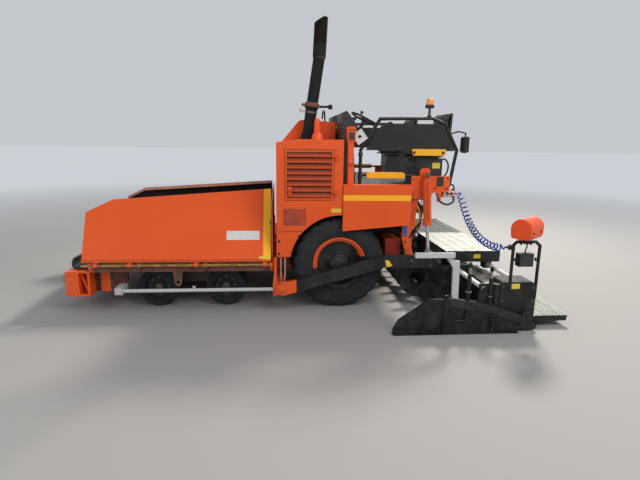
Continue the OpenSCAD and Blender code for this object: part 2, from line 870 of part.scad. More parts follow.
module rear_frame() {
    color("orangered")
        both_sides()
            union() {
                difference() {
                    side_plate([[chassis_rear, 1330], [chassis_rear, 1600], [-1705, 1600], [-1705, 1420],
                        [-1612, 1412], [-1606, 1290], [-1566, 1290], [-1556, 1405], [-1480, 1395],
                            [-1440, 1330]],
                        1085, lift_plate_out);
                    block(-1612, -1550, 1084, lift_plate_out + 1, 1515, 1575);
                    for (x = [-1530, -1650])
                        rod_y(x, 1450, 14, 1084, lift_plate_out + 1);
                }
                side_plate([[lift_top_x - 60, 1590], [lift_top_x - 60, 1670], [lift_top_x - 30, 1690],
                    [lift_top_x + 30, 1690], [lift_top_x + 60, 1670], [lift_top_x + 60, 1590]],
                    1085, lift_plate_out);
                rod_y(lift_top_x, lift_top_z, 18, 1100, 1212);
                block(-1690, -1250, 1040, 1090, 1420, 1459);
                side_plate([[-1245, 1345], [-1340, 1345], [-1310, 1000], [-1245, 860], [-1316, 640],
                    [-1316, 605], [-1228, 605], [-1165, 850], [-1165, 1000]], 1040, 1086);
                block(-1300, chassis_rear, rail_in, 1041, 720, 840);
                block(-1175, -990, rail_out, 980, 604, 808);
                block(-1790, -1640, 955, 1060, 1345, 1430);
            }
}

lift_angle = atan2(lift_top_x - lift_pin_x, lift_top_z - lift_pin_z);
lift_length = norm([lift_top_x - lift_pin_x, lift_top_z - lift_pin_z]);

// Things along the cylinder, measured down from its upper pin
module along_lift() {
    translate([lift_top_x, lift_y, lift_top_z])
        rotate([0, 180 + lift_angle, 0])
            children();
}

module lift_barrel() {
    color("orangered")
        along_lift()
            difference() {
                union() {
                    translate([0, 0, 50])
                        cylinder(r = barrel_r, h = 550);
                    translate([0, 0, 560])
                        cylinder(r = barrel_r + 5, h = 36);
                    translate([0, 20, 0])
                        rotate([90, 0, 0])
                            cylinder(r = 36, h = 40);
                    translate([-30, -20, 0])
                        cube([60, 40, 60]);
                    for (z = [90, 520])
                        translate([0, barrel_r - 6, z])
                            rotate([-90, 0, 0])
                                cylinder(r = 14, h = 24);
                }
                translate([0, 0, 85])
                    cylinder(r = 24, h = 460);
                translate([0, 0, 540])
                    cylinder(r = rod_r + run, h = 70);
                translate([0, 30, 0])
                    rotate([90, 0, 0])
                        cylinder(r = 18 + run, h = 60);
            }
}

module lift_rod() {
    color("silver")
        along_lift()
            union() {
                translate([0, 0, 400])
                    cylinder(r = rod_r, h = lift_length - 400 - 15);
                translate([-26, -20, lift_length - 26])
                    cube([52, 40, 52]);
            }
}

module side_bars() {
    color("lightgray")
        both_sides()
            union() {
                rod_x(1188, 255, 22, tow_x + 105, 2200);
                block(2120, 2210, 1000, 1215, 215, 295);
            }
}

// Screed
arm_outline = [
    [tow_x + 60, tow_z - 50], [tow_x + 60, tow_z + 50], [tow_x - 10, tow_z + 75], [120, 385], [-926, 680],
    [-1500, 680], [-1500, 520], [-926, 540], [120, 245], [tow_x - 10, tow_z - 70]
];

module tow_arms() {
    color([0.1, 0.1, 0.11])
        both_sides()
            union() {
                difference() {
                    union() {
                        side_plate(arm_outline, arm_in, arm_out);
                        rod_y(tow_x, tow_z, 66, arm_in, arm_out);
                    }
                    rod_y(tow_x, tow_z, 25 + run, arm_in - 1, arm_out + 1);
                }
                rod_y(lift_pin_x, lift_pin_z, 15, lift_y + 21, arm_in + 20);
                side_plate([[-1500, 520], [-1500, 720], [-1430, 720], [-1430, 660], [-1380, 600],
                    [-1380, 520]],
                    arm_in, arm_out);
            }
}

// Places of the extension's two guide tubes
front_tube = [screed_rear + 150, 475];
rear_tube = [screed_rear - 290, 500];
deck_front = screed_rear + 300;
deck_rear = screed_rear - 360;
deck_planks = 5;

module screed() {
    color([0.1, 0.1, 0.11])
        union() {
            side_plate([[screed_front, 0], [screed_front, 30], [screed_front - 18, 60],
                [screed_front - 18, 210],
                [screed_front - 70, 300], [screed_rear + 70, 330], [screed_rear, 290], [screed_rear, 0]],
                -screed_half + 20, screed_half - 20);
            both_sides() {
                difference() {
                    union() {
                        side_plate([[screed_front + 60, 20], [screed_front + 90, 250],
                            [screed_front + 100, 500],
                            [screed_front + 100, 640], [screed_front + 10, 640], [screed_front - 110, 540],
                            [screed_rear, 540], [screed_rear, 0], [screed_front, 0]], arm_in - 20, arm_in);
                        block(front_tube[0] - 50, front_tube[0] + 50, 1060, arm_in - 19, 300, 530);
                    }
                    rod_y(front_tube[0], front_tube[1], guide_r + run, 1050, 1260);
                }
                difference() {
                    side_plate([[deck_front - 20, 310], [deck_front - 20, deck_z - 12],
                        [deck_rear + 20, deck_z - 12],
                        [deck_rear + 20, 450], [deck_rear + 120, 450], [deck_rear + 120, 600],
                        [screed_rear + 200, 620], [screed_rear + 200, 310]], 940, 1040);
                    rod_y(rear_tube[0], rear_tube[1], guide_r + run, 930, 1050);
                }
                side_plate([[deck_front - 20, 310], [deck_front - 20, deck_z - 12],
                    [deck_rear + 60, deck_z - 12],
                    [deck_rear + 60, deck_z - 60], [screed_rear + 200, 620], [screed_rear + 200, 310]],
                        90, 130);
                for (y = [320, 760])
                    vibrator(y);
            }
        }
}

// Tamper drive housing on the screed's body
module vibrator(y) {
    rod_y(screed_front - 160, 350, 52, y, y + 120);
    block(screed_front - 230, screed_front - 90, y + 20, y + 100, 300, 330);
}

module deck() {
    plank = (deck_front - deck_rear + 6) / deck_planks;
    color("gainsboro")
        union() {
            for (i = [0 : deck_planks - 1])
                block(deck_rear + i * plank, deck_rear + (i + 1) * plank - 6, -1200, 1200, deck_z - 12,
                    deck_z);
            both_sides() {
                for (y = [300, 700])
                    block(deck_rear, deck_front, y, y + 40, deck_z - 30, deck_z - 12);
                block(deck_rear, deck_front, 1190, 1200, deck_z - 125, deck_z - 12);
            }
        }
}

// Augers with helical flights, right and left handed so that both carry outwards
flight_t = 12;
flight_steps = 20;
shaft_r = 32;
flight_in = (shaft_r + run) / cos(180 / flight_steps);
flight_start = case_half + 12;
flight_end = 1146;
flight_count = floor((flight_end - flight_t - flight_start) / auger_pitch * flight_steps);
flight_section = [[flight_in, 0], [auger_r, 0], [auger_r, flight_t], [flight_in, flight_t]];

function flight_point(i, q) = [
    q[0] * sin(360 * i / flight_steps),
    flight_start + auger_pitch * i / flight_steps + q[1],
    q[0] * cos(360 * i / flight_steps)
];

module flight() {
    points = [for (i = [0 : flight_count], k = [0 : 3]) flight_point(i, flight_section[k])];
    sides = [for (i = [0 : flight_count - 1], k = [0 : 3], upper = [0, 1])
        let (a = i * 4 + k, b = i * 4 + (k + 1) % 4)
        upper == 0 ? [a, b + 4, b] : [a, a + 4, b + 4]];
    last = flight_count * 4;
    polyhedron(points, concat([[0, 1, 2], [0, 2, 3]], sides,
        [[last + 2, last + 1, last], [last + 3, last + 2, last]]));
}

module auger_flights() {
    color("dimgray")
        both_sides()
            translate([auger_x, 0, auger_z])
                flight();
}

module auger() {
    color("dimgray")
        both_sides()
            difference() {
                rod_y(auger_x, auger_z, shaft_r, case_half + 3, flight_end + 6);
                rod_y(auger_x, auger_z, stub_r + run, case_half, case_half + 45);
            }
}

// Extension, drawn in its parked place
rail_y = gate_y - 90;
plug_x = -2108;
hinge_x = -2455;
hinge_z = 112;
body_in = gate_y - 1285;
body_front = screed_rear - 30;
body_rear = screed_rear - 430;
end_plate_outline = [
    [-1440, 385], [-1908, 330], [-2370, 155], [-2460, 60], [-2440, 20], [-2030, 20], [-1900, 150],
    [-1440, 250]
];

module extension() {
    color([0.1, 0.1, 0.11])
        union() {
            side_plate(end_plate_outline, gate_y - 35, gate_y);
            side_plate([[body_front, 0], [body_front, 400], [body_rear + 20, 400], [body_rear, 380],
                [body_rear, 30],
                [body_rear + 30, 0]], body_in, gate_y - 35);
            side_plate([[body_front, 300], [body_front, 525], [body_front - 20, 545], [body_rear + 50, 545],
                [body_rear, 500], [body_rear, 300]], gate_y - 290, gate_y - 35);
            rod_y(front_tube[0], front_tube[1], guide_r, body_in - 50, gate_y - 20);
            rod_y(rear_tube[0], rear_tube[1], guide_r, body_in - 50, gate_y - 270);
            side_plate([[-1950, 250], [-1925, 530], [-1800, 530], [-1790, 250]], gate_y - 60, gate_y - 35);
            translate([-1995, gate_y - 70, 290])
                cylinder(r = 40, h = 230);
            tube_route([[-2156, rail_y, 540], [-2156, rail_y, 940], [-2190, rail_y, 972],
                [-2400, rail_y, 972], [-2448, rail_y, 930], [-2448, rail_y, 346]], 17);
            block(-2448, body_rear + 10, rail_y - 12, rail_y + 12, 360, 490);
            block(-2315, -2265, rail_y - 22, rail_y + 22, 950, 1000);
            rod_x(rail_y, 915, 28, -2160, plug_x);
            block(-2372, -2210, rail_y - 40, rail_y + 40, 710, 850);
            block(-2215, -2150, rail_y - 8, rail_y + 8, 765, 795);
            spindle(-1676, 770);
            spindle(-1915, 720);
            rod_y(hinge_x, hinge_z, 8, 765, 1880);
            for (y = [765, 1866])
                side_plate([[hinge_x - 14, hinge_z - 14], [hinge_x - 14, hinge_z + 14],
                    [body_rear + 5, hinge_z + 30],
                    [body_rear + 5, hinge_z - 30]], y, y + 14);
        }
}

// Screw that sets the gate's height, with its collar and nut
module spindle(x, top) {
    translate([x, gate_y - 26, 200])
        cylinder(r = 14, h = top - 200);
    translate([x, gate_y - 26, 200])
        cylinder(r = 22, h = top - 330);
    translate([x, gate_y - 26, top - 45])
        cylinder(r = 24, h = 30, $fn = 6);
}

gate_outline = [
    [-861, 0], [-868, 60], [-921, 161], [-1251, 387], [-1420, 385], [-1908, 309], [-2217, 200], [-2217, 0]
];

module end_gate() {
    color([0.1, 0.1, 0.11])
        union() {
            side_plate(gate_outline, gate_y, gate_y + 20);
            side_plate([[-870, 0], [-870, 12], [-2230, 12], [-2230, 0]], gate_y - 30, gate_y + 50);
            for (x = [-1440, -1960])
                block(x, x + 40, gate_y + 19, gate_y + 45, 12, x == -1440 ? 430 : 250);
            for (x = [-1400, -1920])
                block(x, x + 20, gate_y + 19, gate_y + 30, 12, x == -1400 ? 380 : 250);
            tube_route([[-1640, gate_y + 10, 250], [-1640, gate_y + 34, 250], [-1640, gate_y + 34, 170],
                [-1620, gate_y + 34, 150], [-1500, gate_y + 34, 150], [-1500, gate_y + 10, 150]], 8);
        }
}

// Top edge of the extension's end plate
function plate_top(x) = 385 - (-1440 - x) * 55 / 468;

module sensor_brackets() {
    color("lightgray")
        union() {
            block(-1480, -1065, gate_y, gate_y + 40, 835, 885);
            side_plate([[-1400, 836], [-1455, 836], [-1545, 745], [-1555, plate_top(-1555)],
                [-1490, plate_top(-1490)], [-1480, 720]], gate_y - 30, gate_y + 10);
            side_plate([[-1500, 700], [-1500, 795], [-1545, 790], [-1547, 690]], gate_y - 30, gate_y + 10);
        }
}

module control_box() {
    color("orangered")
        translate([-2290, rail_y, 1100])
            union() {
                rotate([90, 0, 130])
                    translate([0, 0, -160])
                        linear_extrude(320)
                            union() {
                                translate([0, 20])
                                    circle(r = 110);
                                polygon([[-106, 20], [-106, -50], [-88, -80], [88, -80], [106, -50],
                                    [106, 20]]);
                            }
                translate([0, 0, -100])
                    cylinder(r = 18, h = 60);
            }
}

// Ribbed step behind the extension, hinged along its front edge
step_rear = hinge_x - 420;

module walkway() {
    color("gainsboro")
        difference() {
            union() {
                block(step_rear, hinge_x - 24, 785, 1860, hinge_z - 12, hinge_z + 4);
                for (x = [step_rear : 30 : hinge_x - 40])
                    block(x, x + 12, 785, 1860, hinge_z + 3, hinge_z + 13);
                for (y = [790, 1815]) {
                    block(hinge_x - 40, hinge_x, y, y + 40, hinge_z - 12, hinge_z + 13);
                    rod_y(hinge_x, hinge_z, 14, y, y + 40);
                    side_plate([[step_rear, hinge_z - 10], [step_rear, hinge_z - 50],
                        [step_rear + 25, hinge_z - 50],
                        [hinge_x - 60, hinge_z - 60], [hinge_x - 40, hinge_z - 10]], y + 30, y + 40);
                }
            }
            rod_y(hinge_x, hinge_z, 8 + run, 780, 1870);
        }
}

// Curly cord from the platform's socket down to the control box
cord_points = [
    [-1790, 1000, 1385], [-1832, 1000, 1385], [-1872, 1012, 1362], [-1892, 1050, 1300], [-1902, 1110, 1215],
    [-1912, 1200, 1120], [-1920, 1330, 1030], [-1932, 1500, 955], [-1955, 1680, 912], [-1977, 1770, 903],
    [-1990, 1825, 903], [-2012, 1877, 908], [plug_x + 42, rail_y, 915], [plug_x, rail_y, 915]
];
cord_r = 33;
cord_sides = 8;

function ring(i) = let (
    a = cord_points[max(i - 1, 0)],
    b = cord_points[min(i + 1, len(cord_points) - 1)],
    d = (b - a) / norm(b - a),
    u = cross([0, 0, 1], d) / norm(cross([0, 0, 1], d)),
    v = cross(d, u)
) [for (k = [0 : cord_sides - 1])
    cord_points[i] + cord_r * (cos(k * 360 / cord_sides) * u + sin(k * 360 / cord_sides) * v)];

module curly_cord() {
    n = len(cord_points);
    rings = [for (i = [0 : n - 1]) each ring(i)];
    sides = [for (i = [0 : n - 2], k = [0 : cord_sides - 1], upper = [0, 1])
        let (a = i * cord_sides + k, b = i * cord_sides + (k + 1) % cord_sides)
        upper == 0 ? [a, b, b + cord_sides] : [a, b + cord_sides, a + cord_sides]];
    color("navy")
        polyhedron(rings, concat(
            [[for (k = [cord_sides - 1 : -1 : 0]) k]], sides,
            [[for (k = [0 : cord_sides - 1]) (n - 1) * cord_sides + k]]
        ));
}

frame();
push_beam();
push_rollers();
front_axles();
on_side(1) knuckle(front_axle_xs[0]);  // knuckle_first_left
on_side(-1) knuckle(front_axle_xs[0]);  // knuckle_first_right
on_side(1) knuckle(front_axle_xs[1]);  // knuckle_second_left
on_side(-1) knuckle(front_axle_xs[1]);  // knuckle_second_right
tie_rod(front_axle_xs[0]);  // tie_rod_first
tie_rod(front_axle_xs[1]);  // tie_rod_second
on_side(1) front_wheel(front_axle_xs[0]);  // front_wheel_first_left
on_side(-1) front_wheel(front_axle_xs[0]);  // front_wheel_first_right
on_side(1) front_wheel(front_axle_xs[1]);  // front_wheel_second_left
on_side(-1) front_wheel(front_axle_xs[1]);  // front_wheel_second_right
rear_hubs();
on_side(1) rear_rim();  // rear_rim_left
on_side(-1) rear_rim();  // rear_rim_right
on_side(1) rear_tyre();  // rear_tyre_left
on_side(-1) rear_tyre();  // rear_tyre_right
hopper();
conveyor();
apron();
on_side(1) wing();  // wing_left
on_side(-1) wing();  // wing_right
hood();
on_side(1) hood_door();  // hood_door_left
on_side(-1) hood_door();  // hood_door_right
engine();
air_box();
exhaust();
side_panels();
platform();
guards();
edge_bars();
seats();
seat_cushions();
console();
beacon();
rear_frame();
on_side(1) lift_barrel();  // lift_barrel_left
on_side(-1) lift_barrel();  // lift_barrel_right
on_side(1) lift_rod();  // lift_rod_left
on_side(-1) lift_rod();  // lift_rod_right
side_bars();
tow_arms();
screed();
deck();
auger();
auger_flights();
on_side(1) extension();  // extension_left
on_side(-1) extension();  // extension_right
on_side(1) end_gate();  // end_gate_left
on_side(-1) end_gate();  // end_gate_right
on_side(1) sensor_brackets();  // sensor_brackets_left
on_side(-1) sensor_brackets();  // sensor_brackets_right
on_side(1) control_box();  // control_box_left
on_side(-1) control_box();  // control_box_right
on_side(1) walkway();  // walkway_left
on_side(-1) walkway();  // walkway_right
curly_cord();
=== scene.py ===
"""Looks of the wheeled asphalt paver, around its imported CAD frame. Metres, +X forward, +Y left, +Z up."""
from math import cos, pi, radians, sin, sqrt

import bmesh
import bpy
from mathutils import Matrix, Vector


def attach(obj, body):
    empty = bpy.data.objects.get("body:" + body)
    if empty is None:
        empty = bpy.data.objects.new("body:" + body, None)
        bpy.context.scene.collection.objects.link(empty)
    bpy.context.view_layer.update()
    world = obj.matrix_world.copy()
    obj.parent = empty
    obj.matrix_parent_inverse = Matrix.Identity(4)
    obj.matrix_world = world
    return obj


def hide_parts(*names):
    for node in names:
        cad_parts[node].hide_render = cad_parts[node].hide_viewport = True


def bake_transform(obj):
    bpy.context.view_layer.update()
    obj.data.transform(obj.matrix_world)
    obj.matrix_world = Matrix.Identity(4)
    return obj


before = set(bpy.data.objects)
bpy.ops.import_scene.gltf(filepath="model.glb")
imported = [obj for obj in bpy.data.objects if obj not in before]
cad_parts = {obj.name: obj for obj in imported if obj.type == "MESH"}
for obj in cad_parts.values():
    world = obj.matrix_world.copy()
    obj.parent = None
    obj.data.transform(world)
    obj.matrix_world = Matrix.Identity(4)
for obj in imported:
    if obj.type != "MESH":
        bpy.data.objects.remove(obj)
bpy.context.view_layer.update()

X, Y, Z = 0, 1, 2
FORWARD, OUT, UP = Vector((1, 0, 0)), Vector((0, 1, 0)), Vector((0, 0, 1))
SIDES = {1: "left", -1: "right"}

# Camera at the photograph's place, in the machine's own axes
SENSOR_MM = 36
FOCAL_PX = 475.0
FRAME_PX = 640.0
TURN = radians(5.0)
PITCH = radians(11.9)
ROLL = radians(0.8)
CAMERA_AT = Vector((0.317, 6.62, 2.0))

# Places of the CAD model that looks and pieces share
AXLE = Vector((-0.4, 0.0, 0.55))
FRONT_AXLES = (("first", 1.765), ("second", 0.965))
FRONT_AXLE_Z = 0.24
WING_FOOT = Vector((0, 1.205, 0.56))
WING_LEAN = radians(35)
WING_TILT = Matrix.Rotation(WING_LEAN, 3, "X")
HOOD_SIDE = 1.19
ARM_SIDE = 1.29
GATE_SIDE = 1.9905
POST = (-2.29, 1.9)
GUIDE_TUBES = ((-1.85, 0.475), (-2.29, 0.5))
TUBE_R = 0.0284
LABEL_T = 0.0012


def link(name, data):
    """A new object in the scene."""
    made = bpy.data.objects.new(name, data)
    bpy.context.scene.collection.objects.link(made)
    return made


def sided(name, side):
    """A name that ends with an underscore gets the word of its side."""
    return name + SIDES[side] if name.endswith("_") else name


def on_wing(x, y, z):
    """A place on the folded wing: forward, outward from its skin, and up along it."""
    return WING_FOOT + WING_TILT @ Vector((x, y, z))


def add_camera():
    level = Vector((-sin(TURN), -cos(TURN), 0))
    right = Vector((-cos(TURN), sin(TURN), 0))
    ahead = level * cos(PITCH) - UP * sin(PITCH)
    top = level * sin(PITCH) + UP * cos(PITCH)
    axis_x = right * cos(ROLL) + top * sin(ROLL)
    axis_y = top * cos(ROLL) - right * sin(ROLL)
    data = bpy.data.cameras.new("camera")
    data.sensor_width = SENSOR_MM
    data.lens = FOCAL_PX / FRAME_PX * SENSOR_MM
    data.clip_end = 100
    camera = link("camera", data)
    turned = Matrix((axis_x, axis_y, -ahead)).transposed().to_4x4()
    camera.matrix_world = Matrix.Translation(CAMERA_AT) @ turned
    bpy.context.scene.camera = camera


add_camera()


# Materials
class Value:
    """A number that shader nodes work out. Each operator on it adds a node."""

    def __init__(self, graph, socket):
        self.graph = graph
        self.socket = socket

    def __add__(self, other):
        return self.graph.math("ADD", self, other)

    def __sub__(self, other):
        return self.graph.math("SUBTRACT", self, other)

    def __mul__(self, other):
        return self.graph.math("MULTIPLY", self, other)

    def __gt__(self, other):
        return self.graph.math("GREATER_THAN", self, other)

    def __lt__(self, other):
        return self.graph.math("LESS_THAN", self, other)

    def __abs__(self):
        return self.graph.math("ABSOLUTE", self)

    def ramp(self, low, high, to_low=0.0, to_high=1.0):
        """The span from low to high, mapped onto another and cut off at its ends."""
        made = self.graph.add("ShaderNodeMapRange", {
            "Value": self, "From Min": low, "From Max": high, "To Min": to_low, "To Max": to_high})
        return Value(self.graph, made.outputs[0])


class Graph:
    """One material, whose methods string shader nodes together."""

    def __init__(self, name):
        self.mat = bpy.data.materials.new(name)
        self.mat.use_nodes = True
        self.tree = self.mat.node_tree
        self.bsdf = self.tree.nodes["Principled BSDF"]
        coords = self.add("ShaderNodeTexCoord")
        self.where = coords.outputs["Object"]
        self.facing = coords.outputs["Normal"]

    def add(self, kind, inputs=None, **props):
        node = self.tree.nodes.new(kind)
        for key, value in props.items():
            setattr(node, key, value)
        for key, value in (inputs or {}).items():
            self.put(node.inputs[key], value)
        return node

    def put(self, socket, value):
        if isinstance(value, Value):
            value = value.socket
        if isinstance(value, bpy.types.NodeSocket):
            self.tree.links.new(value, socket)
        else:
            socket.default_value = value

    def set(self, name, value):
        self.put(self.bsdf.inputs[name], value)

    def noise(self, scale, detail=4.0, rough=0.6, at=None, distortion=0.0):
        made = self.add("ShaderNodeTexNoise", {
            "Vector": at or self.where, "Scale": scale, "Detail": detail, "Roughness": rough,
            "Distortion": distortion})
        return Value(self, made.outputs["Fac"])

    def stretch(self, factors):
        return self.add("ShaderNodeMapping", {"Vector": self.where, "Scale": factors}).outputs["Vector"]

    def math(self, op, a, b=0.5, clamp=False):
        return Value(self, self.add("ShaderNodeMath", {0: a, 1: b}, operation=op, use_clamp=clamp).outputs[0])

    def mix(self, factor, a, b):
        return self.add("ShaderNodeMix", {0: factor, 6: a, 7: b}, data_type="RGBA").outputs[2]

    def axis(self, index):
        return Value(self, self.add("ShaderNodeSeparateXYZ", {0: self.where}).outputs[index])

    def normal(self, index):
        return Value(self, self.add("ShaderNodeSeparateXYZ", {0: self.facing}).outputs[index])

    def reach(self, a, b):
        """Length of the vector (a, b)."""
        return self.math("SQRT", a * a + b * b)

    def inside(self, x=None, y=None, z=None):
        """1 inside a box given by (low, high) ranges, mirrored over the middle plane in y."""
        result = None
        for index, span in enumerate((x, y, z)):
            if span:
                value = abs(self.axis(index)) if index == Y else self.axis(index)
                within = (value > span[0]) * (value < span[1])
                result = result * within if result else within
        return result

    def bump(self, height, strength, distance):
        made = self.add("ShaderNodeBump", {"Height": height, "Strength": strength, "Distance": distance})
        self.set("Normal", made.outputs[0])

    def finish(self, colour, rough, metal=0.0):
        self.set("Base Color", colour)
        self.set("Roughness", rough)
        self.set("Metallic", metal)
        return self.mat


def rgb(r, g, b):
    return (r, g, b, 1.0)


def shade(colour, by):
    return rgb(*(c * by for c in colour[:3]))


ORANGE = rgb(0.78, 0.098, 0.012)
ORANGE_DEEP = rgb(0.64, 0.066, 0.009)
DUST = rgb(0.33, 0.27, 0.2)
BLACK = rgb(0.012, 0.012, 0.013)
BLACK_WORN = rgb(0.022, 0.022, 0.024)
YELLOW = rgb(0.92, 0.43, 0.01)
RUST = rgb(0.17, 0.06, 0.02)
DIRTY = {"rough": 0.5, "dust": 0.85, "height": 1.2, "streak": 0.3}


def weathering(g, base, dust=0.35, height=0.9, streak=0.12, spots=0.5):
    """Dust that lies thicker near the ground, faint run-down streaks and small dark spots."""
    low = g.axis(Z).ramp(0.1, height, 1.0, 0.18)
    cloud = g.noise(5.5, 6, 0.7).ramp(0.42, 0.72)
    fine = g.noise(60, 3, 0.7).ramp(0.35, 0.75)
    colour = g.mix(cloud * low * (fine * dust), base, DUST)
    runs = g.noise(7, 5, 0.7, at=g.stretch((6.0, 6.0, 0.55))).ramp(0.55, 0.8)
    colour = g.mix(runs * streak, colour, rgb(0.05, 0.04, 0.03))
    dots = g.noise(120, 2, 0.5).ramp(0.7, 0.76)
    patch = g.noise(3.1, 3, 0.5).ramp(0.52, 0.7)
    return g.mix(dots * patch * spots, colour, rgb(0.03, 0.025, 0.02))


def paint(name, colour=ORANGE, deep=ORANGE_DEEP, rough=0.36, dust=0.22, height=0.9, streak=0.12, coat=0.1,
          shine=0.28, extra=None):
    """Enamel in two near tones; extra(graph, colour) adds what is painted or stuck in certain places."""
    g = Graph(name)
    base = g.mix(g.noise(1.7, 4, 0.55).ramp(0.3, 0.7) * 0.45, colour, deep)
    if extra:
        base = extra(g, base)
    base = weathering(g, base, dust, height, streak)
    g.bump(g.noise(260, 2, 0.5), 0.05, 0.0006)
    g.set("Coat Weight", coat)
    g.set("Coat Roughness", 0.18)
    g.set("Specular IOR Level", shine)
    return g.finish(base, g.noise(9, 5, 0.7).ramp(0.2, 0.8, rough - 0.08, rough + 0.2))


def bare_patches(g, base):
    """Paint rubbed through to rusty steel."""
    return g.mix(g.noise(14, 8, 0.75).ramp(0.6, 0.66), base, RUST)


def asphalt_side(g, base):
    """Bitumen and stuck grit on the side that the mix touches."""
    grit = g.mix(g.noise(34, 6, 0.8).ramp(0.45, 0.75), rgb(0.016, 0.014, 0.013), rgb(0.085, 0.072, 0.06))
    return g.mix(g.noise(5, 6, 0.7).ramp(0.6, 0.72) * 0.7, grit, base)


def wing_sides(g, base):
    """Yellow band down a folded wing's outer rear edge, dusty edges, and dark mix stuck to its inside."""
    c, s = cos(WING_LEAN), sin(WING_LEAN)
    y, z = abs(g.axis(Y)) - WING_FOOT.y, g.axis(Z) - WING_FOOT.z
    outward = g.math("SIGN", g.axis(Y)) * g.normal(Y) * c + g.normal(Z) * s
    band = g.inside(x=(0.405, 0.508)) * (y * c + z * s > 0.0095) * (z * c - y * s > 0.055) * (outward > 0.5)
    base = g.mix(band, base, YELLOW)
    dusty = g.mix(g.noise(14, 6, 0.8).ramp(0.4, 0.62), rgb(0.34, 0.17, 0.11), rgb(0.3, 0.06, 0.02))
    base = g.mix(abs(outward) < 0.5, base, dusty)
    return g.mix(outward < -0.5, base, asphalt_side(g, base))


def hinge_dirt(g, base):
    """Mix on the hopper's inside, grit along the wing's hinge, and a dark red to near black skirt below it.
    """
    grit = g.mix(g.noise(11, 6, 0.8).ramp(0.4, 0.62), rgb(0.42, 0.22, 0.045), rgb(0.16, 0.07, 0.025))
    darkened = g.mix(g.noise(7, 6, 0.7).ramp(0.35, 0.65), rgb(0.2, 0.04, 0.02), rgb(0.05, 0.03, 0.022))
    base = bare_patches(g, base)
    mixed = g.inside(x=(0.4085, 2.6), y=(-1, 1.152), z=(0.5446, 1.4))
    base = g.mix(mixed, base, asphalt_side(g, base))
    # The skirt below the hinge is darker, dark red to near black.
    base = g.mix(g.inside(x=(0.42, 2.43), y=(1.0, 1.24), z=(0.2, 0.568)), base, darkened)
    return g.mix(g.inside(x=(0.42, 2.6), y=(1.0, 1.24), z=(0.548, 0.578)), base, grit)


def slat_painted_shade(g, base):
    """The slats darken towards the hood's inside: painted shade between them, with some dirt."""
    inward = abs(g.axis(Y)).ramp(1.1765, 1.1892, 1.0, 0.0) * g.inside(x=(-0.285, 0.233)) * 0.92
    return g.mix(inward, base, rgb(0.055, 0.01, 0.006))


def panel_stripe(g, base):
    return g.mix(g.inside(x=(-1.215, -0.42), y=(1.2, 1.3), z=(1.318, 1.382)), base, YELLOW)


def arm_front(g, base):
    """The tow arm's front end is orange."""
    return g.mix(g.inside(x=(0.12, 0.4), y=(1.0, 1.4)), base, ORANGE)


def black_dish(g, base):
    """Orange ring, worn at its inner edge and black below a slanting line, round a black wheel disc."""
    dx, dz = g.axis(X) - AXLE.x, g.axis(Z) - AXLE.z
    wear = g.noise(17, 6, 0.8)
    disc = g.reach(dx, dz) + wear * 0.045 < 0.278
    # The ring is black below a line that slants down through the axle.
    darkened = dz + dx * 0.25 - wear * 0.05 < -0.005
    return g.mix(g.math("MAXIMUM", disc, darkened), base, rgb(0.01, 0.01, 0.011))


def dark_floor(g, base):
    """Black anti-slip mat on top of the platform, and near black on everything below it."""
    mat = (g.normal(Z) > 0.6) * g.inside(x=(-1.75, -0.4), y=(-1, 1.09), z=(1.49, 1.51))
    # Everything below the platform's top is near black.
    below = g.inside(x=(-1.75, -0.4), y=(-1, 1.06), z=(0.8, 1.455))
    return g.mix(g.math("MAXIMUM", mat, below), base, rgb(0.014, 0.014, 0.015))


def worn_frame_and_shade(g, base):
    """Worn paint, painted shade in two bays in front, and near black over the chassis behind the hopper."""
    base = bare_patches(g, base)
    darkened = g.mix(g.noise(8, 6, 0.7).ramp(0.35, 0.65), rgb(0.13, 0.022, 0.012), rgb(0.045, 0.022, 0.018))
    # Painted shade: the two bays by the push beam are dark red to near black.
    bays = [g.inside(x=x, y=(0.9, 1.19), z=(0.2, 0.56)) for x in ((2.43, 2.566), (2.05, 2.32))]
    base = g.mix(g.math("MAXIMUM", *bays), base, darkened)
    # The chassis behind the hopper, inside the wheels, is near black.
    rear = g.axis(X) + g.noise(6, 5, 0.7) * 0.25 < 0.3
    return g.mix(rear * g.inside(y=(-1, 0.95)), base, rgb(0.018, 0.016, 0.015))


def sooty_end(g, base):
    return g.mix(g.axis(Z) - g.noise(9, 5, 0.7) * 0.12 > 3.06, base, rgb(0.006, 0.004, 0.003))


def black_base(g, base):
    return g.mix(g.inside(z=(2.29, 2.4175)), base, BLACK)


def steel(name, colour, other, rough=0.4, metal=0.9, grain=(1, 1, 1), rusty=0.0, dust=0.2):
    """Brushed metal along its grain, with patches of rust."""
    g = Graph(name)
    brushed = g.noise(38, 6, 0.7, at=g.stretch(grain))
    base = g.mix(brushed.ramp(0.35, 0.7), colour, other)
    if rusty:
        base = g.mix(g.noise(9, 8, 0.75).ramp(0.5, 0.64) * rusty, base, RUST)
    base = weathering(g, base, dust, 0.8, 0.1)
    g.bump(brushed, 0.12, 0.0012)
    return g.finish(base, g.noise(22, 5, 0.7).ramp(0.25, 0.8, rough - 0.1, rough + 0.2), metal)


def rubber(name, colour, dusty, rough=0.8, dust=0.6):
    g = Graph(name)
    cloud = g.noise(6, 7, 0.75).ramp(0.38, 0.75)
    fine = g.noise(90, 3, 0.6).ramp(0.3, 0.8)
    g.bump(g.noise(170, 4, 0.6), 0.22, 0.0012)
    g.set("Specular IOR Level", 0.3)
    return g.finish(g.mix(cloud * fine * dust, colour, dusty), cloud.ramp(0, 1, rough - 0.12, rough + 0.1))


def plastic(name, colour, rough=0.5, grain=420, dust=0.25):
    g = Graph(name)
    base = g.mix(g.noise(4, 4, 0.6).ramp(0.3, 0.75), colour, shade(colour, 0.7))
    base = weathering(g, base, dust, 2.6, 0.04, 0.2)
    g.bump(g.noise(grain, 2, 0.5), 0.16, 0.0006)
    return g.finish(base, g.noise(11, 4, 0.6).ramp(0.25, 0.8, rough - 0.08, rough + 0.15))


